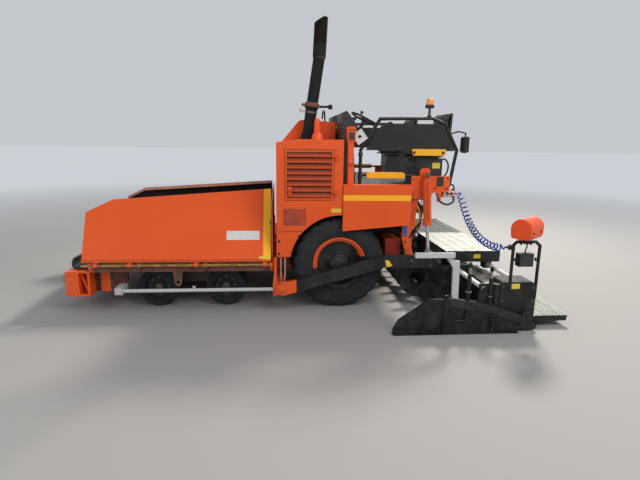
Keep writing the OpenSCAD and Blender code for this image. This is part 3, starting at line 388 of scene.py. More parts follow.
def bitumen_coat(name, tubes=()):
    """Black paint under asphalt residue: lumps, glossy smears and grey dust. The guide tubes stay bright."""
    g = Graph(name)
    smear = g.noise(8, 8, 0.72, distortion=0.6).ramp(0.46, 0.62)
    base = g.mix(smear, rgb(0.01, 0.01, 0.01), rgb(0.026, 0.024, 0.022))
    base = g.mix(g.noise(21, 7, 0.8).ramp(0.58, 0.76) * 0.28, base, rgb(0.2, 0.18, 0.16))
    base = g.mix(g.noise(13, 8, 0.8).ramp(0.63, 0.69) * 0.35, base, RUST)
    g.bump(g.noise(34, 6, 0.7) * 0.7 + smear * 0.4, 0.35, 0.0035)
    g.set("Specular IOR Level", 0.3)
    shine = smear.ramp(0, 1, 0.3, 0.68)
    for x, z in tubes:
        bright = (g.reach(g.axis(X) - x, g.axis(Z) - z) < TUBE_R) * (abs(g.normal(Y)) < 0.5)
        base = g.mix(bright, base, rgb(0.74, 0.74, 0.73))
        shine = g.math("SUBTRACT", shine, bright * 0.22, True)
    return g.finish(base, shine)


def grated(name, far_dark=False, pale=1.0):
    """Light anti-slip plate with rows of small teeth. The edges, and one half where told, are black."""
    g = Graph(name)
    across = g.math("PINGPONG", g.axis(X), 0.011).ramp(0.006, 0.0078)
    hole = across * g.math("PINGPONG", g.axis(Y), 0.013).ramp(0.0065, 0.0085)
    light, grey = shade(rgb(0.56, 0.58, 0.54), pale), shade(rgb(0.34, 0.35, 0.32), pale)
    light = g.mix(g.noise(6, 6, 0.7).ramp(0.35, 0.7), light, grey)
    light = g.mix(g.noise(2.3, 5, 0.75).ramp(0.56, 0.7, 0.0, 0.9), light, rgb(0.07, 0.055, 0.045))
    light = weathering(g, light, 0.6, 3.0, 0.12, 0.7)
    light = g.mix(hole, light, rgb(0.1, 0.1, 0.095))
    top = g.normal(Z) > 0.6
    if far_dark:
        top = top * (g.axis(Y) > -0.02)
    dark = g.noise(12, 7, 0.75).ramp(0.5, 0.8, 0.0, 0.6)
    dark = g.mix(dark, rgb(0.014, 0.014, 0.015), rgb(0.075, 0.072, 0.068))
    g.bump(hole, 0.5, -0.002)
    return g.finish(g.mix(top, dark, light), g.noise(30, 5, 0.7).ramp(0.3, 0.8, 0.42, 0.65), 0.15)


def leather(name, colour):
    """Seat vinyl with a fine pebble grain and faint creases."""
    g = Graph(name)
    cells = g.add("ShaderNodeTexVoronoi", {"Vector": g.where, "Scale": 420.0}, feature="SMOOTH_F1")
    crease = g.noise(26, 6, 0.75, distortion=0.8)
    base = g.mix(g.noise(6, 5, 0.6).ramp(0.3, 0.7), colour, shade(colour, 1.7))
    base = g.mix(g.noise(50, 4, 0.7).ramp(0.55, 0.75) * 0.35, base, DUST)
    g.bump(Value(g, cells.outputs[0]) * -0.4 + crease * 0.5, 0.3, 0.0016)
    return g.finish(base, crease.ramp(0.3, 0.7, 0.42, 0.62))


def grille(name):
    """Perforated sheet in worn red paint, with rows of round holes."""
    g = Graph(name)
    pitch = 0.0125
    a, b = (g.math("PINGPONG", g.axis(index), pitch / 2) - pitch / 4 for index in (X, Z))
    hole = g.reach(a, b).ramp(pitch * 0.16, pitch * 0.21, 1.0, 0.0)
    base = g.mix(g.noise(9, 4, 0.6).ramp(0.35, 0.65), rgb(0.66, 0.075, 0.016), rgb(0.42, 0.05, 0.022))
    g.bump(hole, 0.6, -0.002)
    return g.finish(g.mix(hole * 0.75, base, rgb(0.02, 0.012, 0.01)), 0.55)


def glassy(name, colour, metal=0.0, rough=0.08):
    """Smooth gloss with faint dusty smears."""
    g = Graph(name)
    smear = g.noise(14, 6, 0.7).ramp(0.4, 0.75)
    g.set("Coat Weight", 0.6)
    return g.finish(g.mix(smear * 0.15, colour, DUST), smear.ramp(0, 1, rough, rough + 0.16), metal)


def worn_plate(name):
    """Step plate worn bright, with bitumen left in the low places."""
    g = Graph(name)
    patch = g.noise(7, 7, 0.75).ramp(0.44, 0.6)
    base = g.mix(patch, rgb(0.56, 0.53, 0.46), rgb(0.08, 0.07, 0.06))
    base = g.mix(g.noise(60, 4, 0.7).ramp(0.55, 0.75, 0.0, 0.5), base, rgb(0.3, 0.26, 0.21))
    g.bump(g.noise(45, 6, 0.7), 0.3, 0.002)
    return g.finish(base, patch.ramp(0, 1, 0.4, 0.62), 0.45)


def lens(name, colour, extra=None):
    """Ribbed, slightly translucent plastic."""
    g = Graph(name)
    ribs = g.add("ShaderNodeTexWave", {"Vector": g.where, "Scale": 26.0, "Distortion": 0.0},
                 wave_type="BANDS", bands_direction="Z")
    base = g.mix(g.noise(40, 4, 0.6).ramp(0.45, 0.8) * 0.3, colour, shade(colour, 0.5))
    if extra:
        base = extra(g, base)
    g.bump(ribs.outputs["Fac"], 0.25, 0.002)
    g.set("Coat Weight", 0.8)
    g.set("Subsurface Weight", 0.25)
    g.set("Subsurface Radius", (0.02, 0.01, 0.004))
    return g.finish(base, g.noise(15).ramp(0.2, 0.8, 0.12, 0.32))


# All looks, by the short names that nodes and pieces use
M = {
    "orange": paint("orange_paint_clean"),
    # Painted shade: the wings' orange is a little deeper than the hood's.
    "orange_wing_shaded": paint("orange_wing_shaded", rgb(0.74, 0.088, 0.008), rgb(0.64, 0.07, 0.006), dust=0.12,
                         extra=wing_sides),
    "orange_hopper": paint("orange_hopper", **DIRTY, extra=hinge_dirt),
    "orange_platform": paint("orange_platform", extra=dark_floor),
    "orange_frame": paint("orange_frame", **DIRTY, extra=worn_frame_and_shade),
    "exhaust_black": paint("exhaust_black", BLACK, rgb(0.022, 0.022, 0.026), rough=0.6, dust=0.1, height=2.0,
                           coat=0.0, shine=0.12, extra=sooty_end),
    "tubes_bright": bitumen_coat("bitumen_and_guide_tubes", tubes=GUIDE_TUBES),
    "orange_panel": paint("orange_panel", extra=panel_stripe),
    "orange_dirty": paint("orange_dirty", **DIRTY, extra=bare_patches),
    "yellow": paint("yellow_paint", YELLOW, rgb(0.72, 0.38, 0.02)),
    "black": paint("black_paint_gloss", BLACK, BLACK_WORN, rough=0.4, dust=0.25, height=2.0),
    "black_arm": paint("black_arm", BLACK, BLACK_WORN, rough=0.42, dust=0.25, height=2.0, extra=arm_front),
    "bitumen": bitumen_coat("bitumen_coated_steel"),
    "dark_steel": steel("dark_steel_used", rgb(0.09, 0.085, 0.08), rgb(0.17, 0.15, 0.13), 0.5, 0.7,
                        rusty=0.6),
    "bare_steel": steel("bare_steel_worn", rgb(0.38, 0.37, 0.35), rgb(0.22, 0.2, 0.18), 0.38, 0.95,
                        grain=(1, 0.15, 1), rusty=0.45),
    "chrome": steel("chrome_rod_shine", rgb(0.75, 0.75, 0.76), rgb(0.62, 0.62, 0.63), 0.18, 1.0, dust=0.08),
    "grey": paint("light_grey_paint", rgb(0.5, 0.51, 0.5), rgb(0.36, 0.37, 0.36), rough=0.45, dust=0.5),
    "tyre": rubber("tyre_rubber_dusty", rgb(0.011, 0.013, 0.016), rgb(0.11, 0.11, 0.105)),
    "rubber": rubber("black_rubber_part", rgb(0.015, 0.015, 0.015), rgb(0.12, 0.11, 0.1), 0.6, 0.4),
    "vinyl": leather("seat_vinyl_black", rgb(0.02, 0.02, 0.021)),
    "plastic": plastic("black_plastic_grained", BLACK_WORN),
    "amber": lens("amber_lens", rgb(0.95, 0.28, 0.01), extra=black_base),
    "red_lens": lens("red_lens", rgb(0.7, 0.02, 0.015)),
    "plate": grated("walkway_plate", pale=1.45),
    "deck_plate": grated("deck_plate", True),
    "cord": plastic("blue_cord_jacket", rgb(0.01, 0.055, 0.34), 0.35, 200, 0.1),
    "white": plastic("white_blank_plate", rgb(0.72, 0.72, 0.7), 0.4, 300, 0.3),
    "red": paint("red_paint", rgb(0.3, 0.022, 0.015), rgb(0.17, 0.015, 0.012), rough=0.5, dust=0.5),
    "blue": plastic("blue_blank_plate", rgb(0.03, 0.12, 0.45), 0.4, 300, 0.2),
    "orange_rim": paint("orange_rim", rough=0.45, dust=0.6, height=1.2, extra=black_dish),
    # Painted shade: the slats' orange is deeper and duller than the hood's.
    "orange_slats_shaded": paint("orange_slats_shaded", rgb(0.66, 0.085, 0.014), rgb(0.48, 0.055, 0.01), rough=0.6,
                          dust=0.1, coat=0.0, extra=slat_painted_shade),
    "orange_drum": paint("orange_drum", rgb(0.84, 0.085, 0.01), rgb(0.72, 0.065, 0.008), rough=0.34),
    "sticker": plastic("yellow_blank_label", rgb(0.82, 0.62, 0.03), 0.42, 300, 0.35),
    "dull_brass": steel("zinc_yellow_bolts", rgb(0.42, 0.33, 0.1), rgb(0.25, 0.19, 0.08), 0.45, 0.8),
    "rust_brown": steel("rusty_bracket", rgb(0.2, 0.1, 0.06), rgb(0.11, 0.05, 0.03), 0.65, 0.3, rusty=0.6),
    "hose_yellow": plastic("yellow_hose_cover", rgb(0.82, 0.5, 0.06), 0.45, 260, 0.25),
    "hose_red": plastic("red_hose_cover", rgb(0.34, 0.03, 0.03), 0.45, 260, 0.4),
    "panel_grey": plastic("instrument_panel", rgb(0.1, 0.1, 0.105), 0.45, 300, 0.4),
    "black_glass": glassy("black_gloss_glass", rgb(0.012, 0.013, 0.015)),
    "mirror": glassy("mirror_silver", rgb(0.8, 0.82, 0.84), 1.0, 0.04),
    "grille": grille("perforated_grille"),
    "worn_plate": worn_plate("worn_step_plate"),
}

# Looks of the CAD nodes. A key that ends with an underscore stands for all nodes whose names start with it.
NODE_LOOKS = {
    "frame": "orange_frame", "push_beam": "orange", "push_rollers": "bare_steel",
    "front_axles": "dark_steel", "knuckle_": "dark_steel", "tie_rod_": "chrome", "front_wheel_": "tyre",
    "rear_hubs": "black", "rear_rim_": "orange_rim", "rear_tyre_": "tyre", "hopper": "orange_hopper",
    "conveyor": "bare_steel", "apron": "rubber", "wing_": "orange_wing_shaded", "hood": "orange",
    "hood_door_": "orange_slats_shaded", "engine": "dark_steel", "air_box": "orange", "exhaust": "exhaust_black",
    "side_panels": "orange_panel", "platform": "orange_platform", "guards": "black",
    "edge_bars": "yellow", "seats": "plastic", "seat_cushions": "vinyl", "console": "plastic",
    "beacon": "amber", "rear_frame": "orange_dirty", "lift_barrel_": "orange_dirty",
    "lift_rod_": "chrome", "side_bars": "grey", "tow_arms": "black_arm", "screed": "bitumen",
    "deck": "deck_plate", "auger": "bitumen", "auger_flights": "bitumen", "extension_": "tubes_bright",
    "end_gate_": "bitumen", "sensor_brackets_": "grey", "control_box_": "orange_drum",
    "walkway_": "plate", "curly_cord": "cord",
}


def dress_nodes():
    for name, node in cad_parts.items():
        match = max((k for k in NODE_LOOKS if name == k or (k.endswith("_") and name.startswith(k))), key=len)
        slots = node.data.materials
        if len(slots) == 0:
            slots.append(None)
        for i in range(len(slots)):
            slots[i] = M[NODE_LOOKS[match]]


dress_nodes()


# Helpers for pieces
def rounded(a, b, r, steps=4):
    """Outline of a rectangle with round corners."""
    out = []
    for ca, cb, start in ((a[1] - r, b[1] - r, 0), (a[0] + r, b[1] - r, 90),
                          (a[0] + r, b[0] + r, 180), (a[1] - r, b[0] + r, 270)):
        for k in range(steps + 1):
            turn = radians(start + 90 * k / steps)
            out.append((ca + r * cos(turn), cb + r * sin(turn)))
    return out


def smooth(route, steps=8):
    """Smooth curve through all of a route's points."""
    pts = [Vector(p) for p in route]
    out = []
    for i in range(len(pts) - 1):
        p0, p1, p2, p3 = pts[max(i - 1, 0)], pts[i], pts[i + 1], pts[min(i + 2, len(pts) - 1)]
        for k in range(steps):
            t = k / steps
            out.append(0.5 * (2 * p1 + (p2 - p0) * t + (2 * p0 - 5 * p1 + 4 * p2 - p3) * t * t
                              + (3 * p1 - p0 - 3 * p2 + p3) * t ** 3))
    return out + [pts[-1]]


def frames(path):
    """Tangent and two side directions at each point, carried along without twist."""
    result = []
    side = None
    for i, point in enumerate(path):
        ahead = (path[min(i + 1, len(path) - 1)] - path[max(i - 1, 0)]).normalized()
        if side is None:
            side = ahead.orthogonal().normalized()
        side = (side - ahead * side.dot(ahead)).normalized()
        result.append((point, ahead, side, ahead.cross(side)))
    return result


def turns(count, offset=0.0):
    """Angles of evenly spread places round a circle."""
    return [2 * pi * (k + offset) / count for k in range(count)]


class Piece:
    """One mesh of several shapes that rides on a CAD body, made by a with statement. Side -1 mirrors it."""

    def __init__(self, name, body, look, side=1, bevel=0.0):
        self.name, self.body = sided(name, side), sided(body, side)
        self.look, self.side, self.bevel = M[look], side, bevel
        self.bm = bmesh.new()

    def __enter__(self):
        return self

    def __exit__(self, error, *rest):
        if error is None:
            self.done()

    def skin(self, rings, caps=True):
        rows = [[self.bm.verts.new((p[0], p[1] * self.side, p[2])) for p in ring] for ring in rings]
        count = len(rows[0])
        for low, high in zip(rows, rows[1:]):
            for i in range(count):
                j = (i + 1) % count
                self.bm.faces.new((low[i], low[j], high[j], high[i]))
        if caps:
            self.bm.faces.new(rows[0])
            self.bm.faces.new(rows[-1])

    def prism(self, outline, y):
        self.skin([[(px, level, pz) for px, pz in outline] for level in y])

    def front(self, outline, x):
        self.skin([[(level, py, pz) for py, pz in outline] for level in x])

    def box(self, x, y, z, r=0.003):
        self.prism(rounded(x, z, r, 2), y)

    def tube(self, path, radius, sides=12):
        rings = []
        for point, _, u, v in frames([Vector(p) for p in path]):
            rings.append([point + radius * (u * cos(a) + v * sin(a)) for a in turns(sides)])
        self.skin(rings)

    def turned(self, at, axis, profile, sides=24):
        """Turned shape about an axis; the profile is (radius, height) from one end."""
        axis, at = Vector(axis).normalized(), Vector(at)
        u = axis.orthogonal().normalized()
        v = axis.cross(u)
        self.skin([[at + axis * h + r * (u * cos(a) + v * sin(a)) for a in turns(sides)]
                   for r, h in profile])

    def bolt(self, at, axis, size):
        """Hexagon on a washer."""
        self.turned(at, axis, [(size * 1.3, -0.001), (size * 1.3, size * 0.18)], 16)
        self.turned(at, axis, [(size, size * 0.1), (size, size * 0.7), (size * 0.82, size * 0.86)], 6)

    def bolts(self, places, y, size):
        """Bolts that face outward at (x, z) places."""
        for x, z in places:
            self.bolt((x, y, z), OUT, size)

    def bolt_ring(self, at, radius, angles, size):
        """Bolts that face outward, round a wheel's axle."""
        x, y, z = at
        self.bolts([(x + radius * cos(a), z + radius * sin(a)) for a in angles], y, size)

    def done(self):
        bmesh.ops.recalc_face_normals(self.bm, faces=self.bm.faces)
        mesh = bpy.data.meshes.new(self.name)
        self.bm.to_mesh(mesh)
        self.bm.free()
        mesh.shade_smooth()
        mesh.set_sharp_from_angle(angle=radians(34))
        mesh.materials.append(self.look)
        self.made = link(self.name, mesh)
        if self.bevel:
            edge = self.made.modifiers.new("bevel", "BEVEL")
            edge.width = self.bevel
            edge.segments = 2
            edge.limit_method = "ANGLE"
            edge.angle_limit = radians(40)
        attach(self.made, self.body)


def turned_piece(name, body, look, side, at, axis, profile, sides=24):
    with Piece(name, body, look, side) as piece:
        piece.turned(at, axis, profile, sides)


def plate_piece(name, body, look, side, outline, y, bevel=0.0):
    with Piece(name, body, look, side, bevel) as piece:
        piece.prism(outline, y)


def sticker(name, body, look, x, z, y, side, wing=False):
    """Thin blank label on a side face, or on the folded wing."""
    levels = (y, y + LABEL_T)
    outline = rounded(x, z, 0.006, 3)
    with Piece(name, body, look, side) as piece:
        if wing:
            piece.skin([[on_wing(px, level, pz) for px, pz in outline] for level in levels])
        else:
            piece.prism(outline, levels)


def hose(name, body, look, route, radius, side=1):
    """Hydraulic hose fixed at both ends, with crimped sleeves and hexagons."""
    name, path = sided(name, side), smooth(route)
    with Piece(name, body, look, side) as piece:
        piece.tube(path, radius)
    with Piece(name + "_fittings", body, "dark_steel", side) as fit:
        for at, away in ((path[0], path[1] - path[0]), (path[-1], path[-2] - path[-1])):
            fit.turned(at, away, [(radius * 1.45, 0), (radius * 1.45, 0.03), (radius * 1.2, 0.034)], 14)
            fit.turned(at, away, [(radius * 1.75, -0.004), (radius * 1.75, 0.012)], 6)


# Curly cord with its connectors
CORD_ROUTE = [
    (-1.79, 1.0, 1.385), (-1.832, 1.0, 1.385), (-1.872, 1.012, 1.362), (-1.892, 1.05, 1.3),
    (-1.902, 1.11, 1.215), (-1.912, 1.2, 1.12), (-1.92, 1.33, 1.03), (-1.932, 1.5, 0.955),
    (-1.955, 1.68, 0.912), (-1.977, 1.77, 0.903), (-1.99, 1.825, 0.903), (-2.012, 1.877, 0.908),
    (-2.066, 1.9, 0.915), (-2.108, 1.9, 0.915)]
COIL_R = 0.035
COIL_TURNS = 21
TURN_STEPS = 24
CORD_R = 0.008
STRAIGHT_END = 0.03
COIL_GROWS_IN = 0.06
PLUG = [(0.021, -0.001), (0.021, 0.006), (0.017, 0.008), (0.017, 0.02), (0.013, 0.024), (0.0105, 0.034),
        (0.0088, 0.036)]


def coil_points():
    """Helix about the smooth route, which narrows to the middle line near both ends."""
    guide = frames(smooth(CORD_ROUTE, 40))
    length = [0.0]
    for a, b in zip(guide, guide[1:]):
        length.append(length[-1] + (b[0] - a[0]).length)
    total = length[-1]
    points, index = [], 0
    for k in range(COIL_TURNS * TURN_STEPS + 1):
        at = total * k / (COIL_TURNS * TURN_STEPS)
        while index < len(length) - 2 and length[index + 1] < at:
            index += 1
        t = (at - length[index]) / (length[index + 1] - length[index])
        here = guide[index][0].lerp(guide[index + 1][0], t)
        _, _, u, v = guide[index]
        inner = min(at - STRAIGHT_END, total - STRAIGHT_END - at)
        reach = COIL_R * min(1.0, max(0.0, inner) / COIL_GROWS_IN)
        turn = 2 * pi * k / TURN_STEPS
        points.append(here + reach * (u * cos(turn) + v * sin(turn)))
    return points


def wire(name, points):
    """Round wire along the points, as a mesh."""
    curve = bpy.data.curves.new(name, "CURVE")
    curve.dimensions = "3D"
    curve.bevel_depth = CORD_R
    curve.bevel_resolution = 2
    curve.use_fill_caps = True
    line = curve.splines.new("POLY")
    line.points.add(len(points) - 1)
    for spot, p in zip(line.points, points):
        spot.co = (p.x, p.y, p.z, 1.0)
    line.use_smooth = True
    drawn = link(name + "_path", curve)
    mesh = bpy.data.meshes.new_from_object(drawn.evaluated_get(bpy.context.evaluated_depsgraph_get()))
    bpy.data.objects.remove(drawn)
    bpy.data.curves.remove(curve)
    mesh.name = name
    mesh.materials.clear()
    mesh.materials.append(M["cord"])
    return link(name, mesh)


def curly_cord():
    points = coil_points()
    lead = wire("curly_lead", points)
    length = sum((b - a).length for a, b in zip(points, points[1:]))
    for name, at, axis, look, body in (("socket_plug", points[0], -FORWARD, "red", "chassis"),
                                       ("box_plug", points[-1], FORWARD, "plastic", "floating_screed")):
        with Piece(name, body, look, bevel=0.001) as plug:
            plug.turned(at, axis, PLUG, 28)
    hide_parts("curly_cord")
    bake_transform(lead)


curly_cord()


# Wheels
TYRE_R = 0.55
TYRE_W = 0.37
TYRE_OUT = 1.15
LUGS = 22
LUG_H = 0.013
TREAD_FROM = 0.5
TYRE_STEPS = 352
LUG_GROWS_IN = 0.03
DISC_Y = 1.0565
HUB_Y = 1.129
FRONT_DISC_Y = 0.9415
FRONT_HUB_Y = 0.957
KINGPIN_Y = 0.68
# Half of the rear tyre's section: (radius, depth from its outer side)
WALL = [(0.305, 0.03), (0.322, 0.017), (0.334, 0.0075), (0.34, 0.0075), (0.346, 0.0045), (0.352, 0.0045),
        (0.372, 0.0022), (0.42, 0.0008), (0.424, 0.003), (0.43, 0.003), (0.434, 0.001), (0.478, 0.008),
        (0.481, 0.012), (0.487, 0.013), (0.49, 0.0115), (0.505, 0.017), (0.522, 0.026), (0.534, 0.036),
        (0.5425, 0.046), (0.546, 0.058), (0.5485, 0.074)]


def tread_depth(turn, across):
    """Depth of the groove between two rows of slanting lugs, staggered by half a pitch."""
    row = 0.0 if across < 0.5 else 0.5
    slant = 0.9 * min(across, 1.0 - across)
    phase = (turn / (2 * pi) * LUGS + row + slant) % 1.0
    return 0.0 if 0.12 < phase < 0.7 else LUG_H


def rear_tyre(side):
    middle = [(TYRE_R - 0.0005, 0.08 + 0.21 * k / 13) for k in range(14)]
    profile = WALL + middle + [(r, TYRE_W - h) for r, h in reversed(WALL)]
    with Piece("tread_", "rear_wheel_", "tyre", side) as piece:
        rings = []
        for i in range(TYRE_STEPS + 1):
            turn = 2 * pi * i / TYRE_STEPS
            ring = []
            for r, h in profile:
                if r > TREAD_FROM:
                    r -= tread_depth(turn, h / TYRE_W) * min(1.0, (r - TREAD_FROM) / LUG_GROWS_IN)
                ring.append((AXLE.x + r * cos(turn), TYRE_OUT - h, AXLE.z + r * sin(turn)))
            rings.append(ring)
        piece.skin(rings, caps=False)
        bmesh.ops.remove_doubles(piece.bm, verts=piece.bm.verts, dist=1e-5)
    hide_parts(sided("rear_tyre_", side))


def rim_fittings(side):
    with Piece("wheel_nuts_", "rear_wheel_", "black", side) as nuts:
        nuts.bolt_ring((AXLE.x, DISC_Y, AXLE.z), 0.15, turns(12, 0.5), 0.0155)
        nuts.turned((AXLE.x, HUB_Y, AXLE.z), OUT,
                    [(0.062, 0), (0.062, 0.012), (0.054, 0.017), (0.02, 0.018)], 32)
        nuts.bolt_ring((AXLE.x, HUB_Y + 0.0005, AXLE.z), 0.082, turns(6), 0.008)
    turned_piece("valve_", "rear_wheel_", "rubber", side, (AXLE.x + 0.262, 1.06, AXLE.z), (-0.15, 1, 0),
                 [(0.009, 0), (0.006, 0.02), (0.0045, 0.045), (0.006, 0.046), (0.006, 0.058)], 12)


def front_hub(side, axle, x):
    with Piece("hub_cap_%s_" % axle, "steer_wheel_%s_" % axle, "dark_steel", side) as hub:
        hub.turned((x, FRONT_HUB_Y, FRONT_AXLE_Z), OUT,
                   [(0.044, 0), (0.044, 0.014), (0.036, 0.024), (0.012, 0.027)], 28)
        hub.bolt_ring((x, FRONT_DISC_Y, FRONT_AXLE_Z), 0.108, turns(8), 0.011)


def kingpin_cap(side, axle, x):
    with Piece("kingpin_cap_%s_" % axle, "knuckle_%s_" % axle, "dark_steel", side) as cap:
        cap.turned((x, KINGPIN_Y, 0.3195), UP, [(0.03, 0), (0.03, 0.006), (0.022, 0.012), (0.006, 0.013)], 20)
        cap.bolt((x - 0.13, KINGPIN_Y, 0.186), UP, 0.012)


for side in SIDES:
    rear_tyre(side)
    rim_fittings(side)
    for axle, x in FRONT_AXLES:
        front_hub(side, axle, x)
for side in SIDES:
    for axle, x in FRONT_AXLES:
        kingpin_cap(side, axle, x)


# Hopper, wings and hood
def wing_details(side):
    body = "hopper_wing_"
    sticker("wing_plate_", body, "white", (0.553, 0.941), (0.313, 0.431), 0.0121, side, True)
    sticker("wing_label_", body, "sticker", (0.44, 0.555), (0.06, 0.104), 0.0121, side, True)
    outward = WING_TILT @ OUT
    with Piece("wing_bolts_", body, "orange_dirty", side) as bolts:
        for x in (0.5, 1.3, 2.05, 2.42):
            for dx in (-0.018, 0.018):
                bolts.bolt(on_wing(x + dx, 0.0125, 0.05), outward, 0.008)
        bolts.turned(on_wing(1.05, 0.0118, 0.905), outward, [(0.013, 0), (0.013, 0.002), (0.009, 0.003)], 16)
    with Piece("wing_wear_", body, "bare_steel", side) as edge:
        path = [on_wing(x, 0.006, z) for x, z in ((0.419, 1.0105), (2.315, 0.8505), (2.606, 0.6805))]
        edge.tube(path[:2], 0.0035, 8)
        edge.tube(path[1:], 0.0035, 8)


LEVEL_RODS_X = (0.25, 0.3)


def hood_details(side):
    plate_piece("grille_plate_", "chassis", "grille", side, rounded((0.01, 0.27), (1.023, 1.216), 0.004, 2),
                (1.1868, 1.1892))
    with Piece("corner_bolts_", "chassis", "black", side) as corner:
        corner.bolts(((0.321, 0.838), (0.09, 0.9), (0.165, 0.715), (0.321, 0.69)), 1.194, 0.011)
    with Piece("hood_bolts_", "chassis", "dull_brass", side) as bolts:
        bolts.bolts(((-0.346, 1.889), (-0.358, 1.614), (-0.35, 1.3)), HOOD_SIDE, 0.009)
    sticker("hood_label_", "chassis", "sticker", (-0.402, -0.285), (1.177, 1.221), HOOD_SIDE, side)
    with Piece("door_seal_", "chassis", "rubber", side) as seal:
        for x in ((-0.3125, -0.3095), (0.2575, 0.2605)):
            seal.box(x, (1.155, 1.1895), (1.316, 1.892), 0.001)
        for z in ((1.3135, 1.3165), (1.8915, 1.8945)):
            seal.box((-0.309, 0.257), (1.155, 1.1895), z, 0.001)
    with Piece("hood_seam_", "chassis", "rubber", side) as seam:
        seam.box((0.033, 0.345), (1.1905, 1.1946), (0.9505, 0.9545), 0.001)
    with Piece("level_rods_", "chassis", "chrome", side) as rods:
        for x in LEVEL_RODS_X:
            rods.turned((x, 1.15, 0.335), UP, [(0.0115, 0), (0.0115, 0.36)], 20)
    with Piece("level_glands_", "chassis", "orange", side) as glands:
        for x in LEVEL_RODS_X:
            glands.turned((x, 1.15, 0.625), UP,
                          [(0.018, 0), (0.024, 0.004), (0.024, 0.016), (0.028, 0.018), (0.028, 0.04)])
    turned_piece("door_latch_", "engine_door_", "orange", side, (0.196, 1.2132, 1.452), OUT,
                 [(0.017, 0), (0.017, 0.004), (0.012, 0.007)], 20)


def hopper_details():
    """Rubber strip on the rear wall, bolt rows, chain guards over the conveyors, and the apron's clamp."""
    with Piece("hopper_rear_strip", "chassis", "rubber", bevel=0.001) as strip:
        strip.box((0.4105, 0.4185), (-1.1, 1.1), (0.875, 1.06), 0.002)
    with Piece("hopper_bolts", "chassis", "dark_steel") as bolts:
        for k in range(15):
            bolts.bolt((0.4185, -1.05 + 0.15 * k, 1.03), FORWARD, 0.011)
        for side in SIDES:
            for k in range(6):
                bolts.bolt((0.6 + 0.33 * k, side * 1.06, 0.5715), (0, -0.05 * side, 1), 0.01)
    with Piece("chain_guards", "chassis", "bare_steel") as lips:
        for side in SIDES:
            for y in (0.066, 0.44):
                lips.box((0.4, 2.33), (side * y - 0.012, side * y + 0.012), (0.5835, 0.5875), 0.001)
    with Piece("apron_clamp", "chassis", "dark_steel") as apron:
        apron.box((2.494, 2.62), (-1.09, 1.09), (0.5182, 0.5242), 0.002)
        for k in range(9):
            apron.bolt((2.555, -1.0 + 0.25 * k, 0.5242), UP, 0.011)


def beam_details(side):
    """Cap on the push beam's end, and the clip and clamp of the side bar."""
    with Piece("beam_caps_", "chassis", "orange_dirty", side) as cap:
        cap.box((2.705, 2.752), (1.1795, 1.184), (0.225, 0.46), 0.004)
        cap.bolts(((2.728, 0.25), (2.728, 0.435)), 1.184, 0.01)
    with Piece("bar_clip_", "chassis", "white", side) as clip:
        for angle in (radians(-28), radians(28)):
            clip.turned((1.313, 1.188, 0.276), (sin(angle), 0, cos(angle)),
                        [(0.006, 0), (0.006, 0.034), (0.004, 0.036)], 10)
    with Piece("bar_clamp_", "chassis", "grey", side, 0.001) as clamp:
        clamp.box((2.135, 2.195), (1.2145, 1.2225), (0.222, 0.288), 0.006)
        clamp.bolts(((2.15, 0.255), (2.18, 0.255)), 1.2225, 0.008)


for side in SIDES:
    wing_details(side)
    hood_details(side)
hopper_details()
for side in SIDES:
    beam_details(side)


# Platform
def post_details(side):
    """Reflector, lamp and blank square plate on the front post."""
    turned_piece("post_reflector_", "chassis", "red_lens", side, (-0.507, 1.1555, 1.74), OUT,
                 [(0.029, 0), (0.029, 0.004), (0.025, 0.007), (0.01, 0.0085)], 28)
    plate_piece("lamp_lens_", "chassis", "black_glass", side,
                rounded((-0.538, -0.474), (2.002, 2.088), 0.004, 3), (1.149, 1.157), 0.001)
    with Piece("lamp_buttons_", "chassis", "plastic", side) as buttons:
        for x in (-0.527, -0.487):
            buttons.turned((x, 1.1595, 2.117), OUT, [(0.011, 0), (0.011, 0.002), (0.008, 0.003)], 18)

    def square(reach, lift):
        return [(-0.612 + reach * cos(a), 2.04 + lift + reach * sin(a))
                for a in (radians(8 + 90 * k) for k in range(4))]

    with Piece("post_plate_", "chassis", "white", side, 0.0015) as plate:
        plate.prism(square(0.068 * sqrt(2), 0), (1.072, 1.08))
        plate.box((-0.575, -0.545), (1.074, 1.086), (1.995, 2.085), 0.003)
    plate_piece("post_plate_mark_", "chassis", "black", side, square(0.024, 0.004), (1.08, 1.0815))


def guard_details(side):
    """Label, clamps and rivets of the guards, and the mirror's glass."""
    sticker("seat_box_label_", "chassis", "sticker", (-1.625, -1.53), (1.68, 1.748), 0.9452, side)
    with Piece("bar_ends_", "chassis", "plastic", side) as bands:
        for x in (-1.64, -1.29):
            bands.box((x + 0.004, x + 0.036), (1.0455, 1.0485), (1.85, 1.885), 0.002)
    with Piece("guard_clamps_", "chassis", "plastic", side) as clamps:
        for x, z in ((-0.64, 1.56), (-0.64, 1.82), (-1.735, 1.54)):
            clamps.turned((x, 1.0, z), UP,
                          [(0.0255, 0), (0.0275, 0.004), (0.0275, 0.036), (0.0255, 0.04)], 20)
    with Piece("guard_rivets_", "chassis", "dark_steel", side) as rivets:
        rivets.bolts(((-0.9, 2.17), (-1.2, 2.17), (-1.6, 2.17), (-0.74, 1.915), (-1.1, 1.915),
                      (-1.5, 1.915), (-1.73, 1.915)), 1.0062, 0.007)
    with Piece("mirror_glass_", "chassis", "mirror", side) as glass:
        glass.front([(0.985 + 0.112 * a, 1.905 + 0.12 * b) for a, b in rounded((0, 1), (0, 1), 0.15, 4)],
                    (-1.9085, -1.9045))


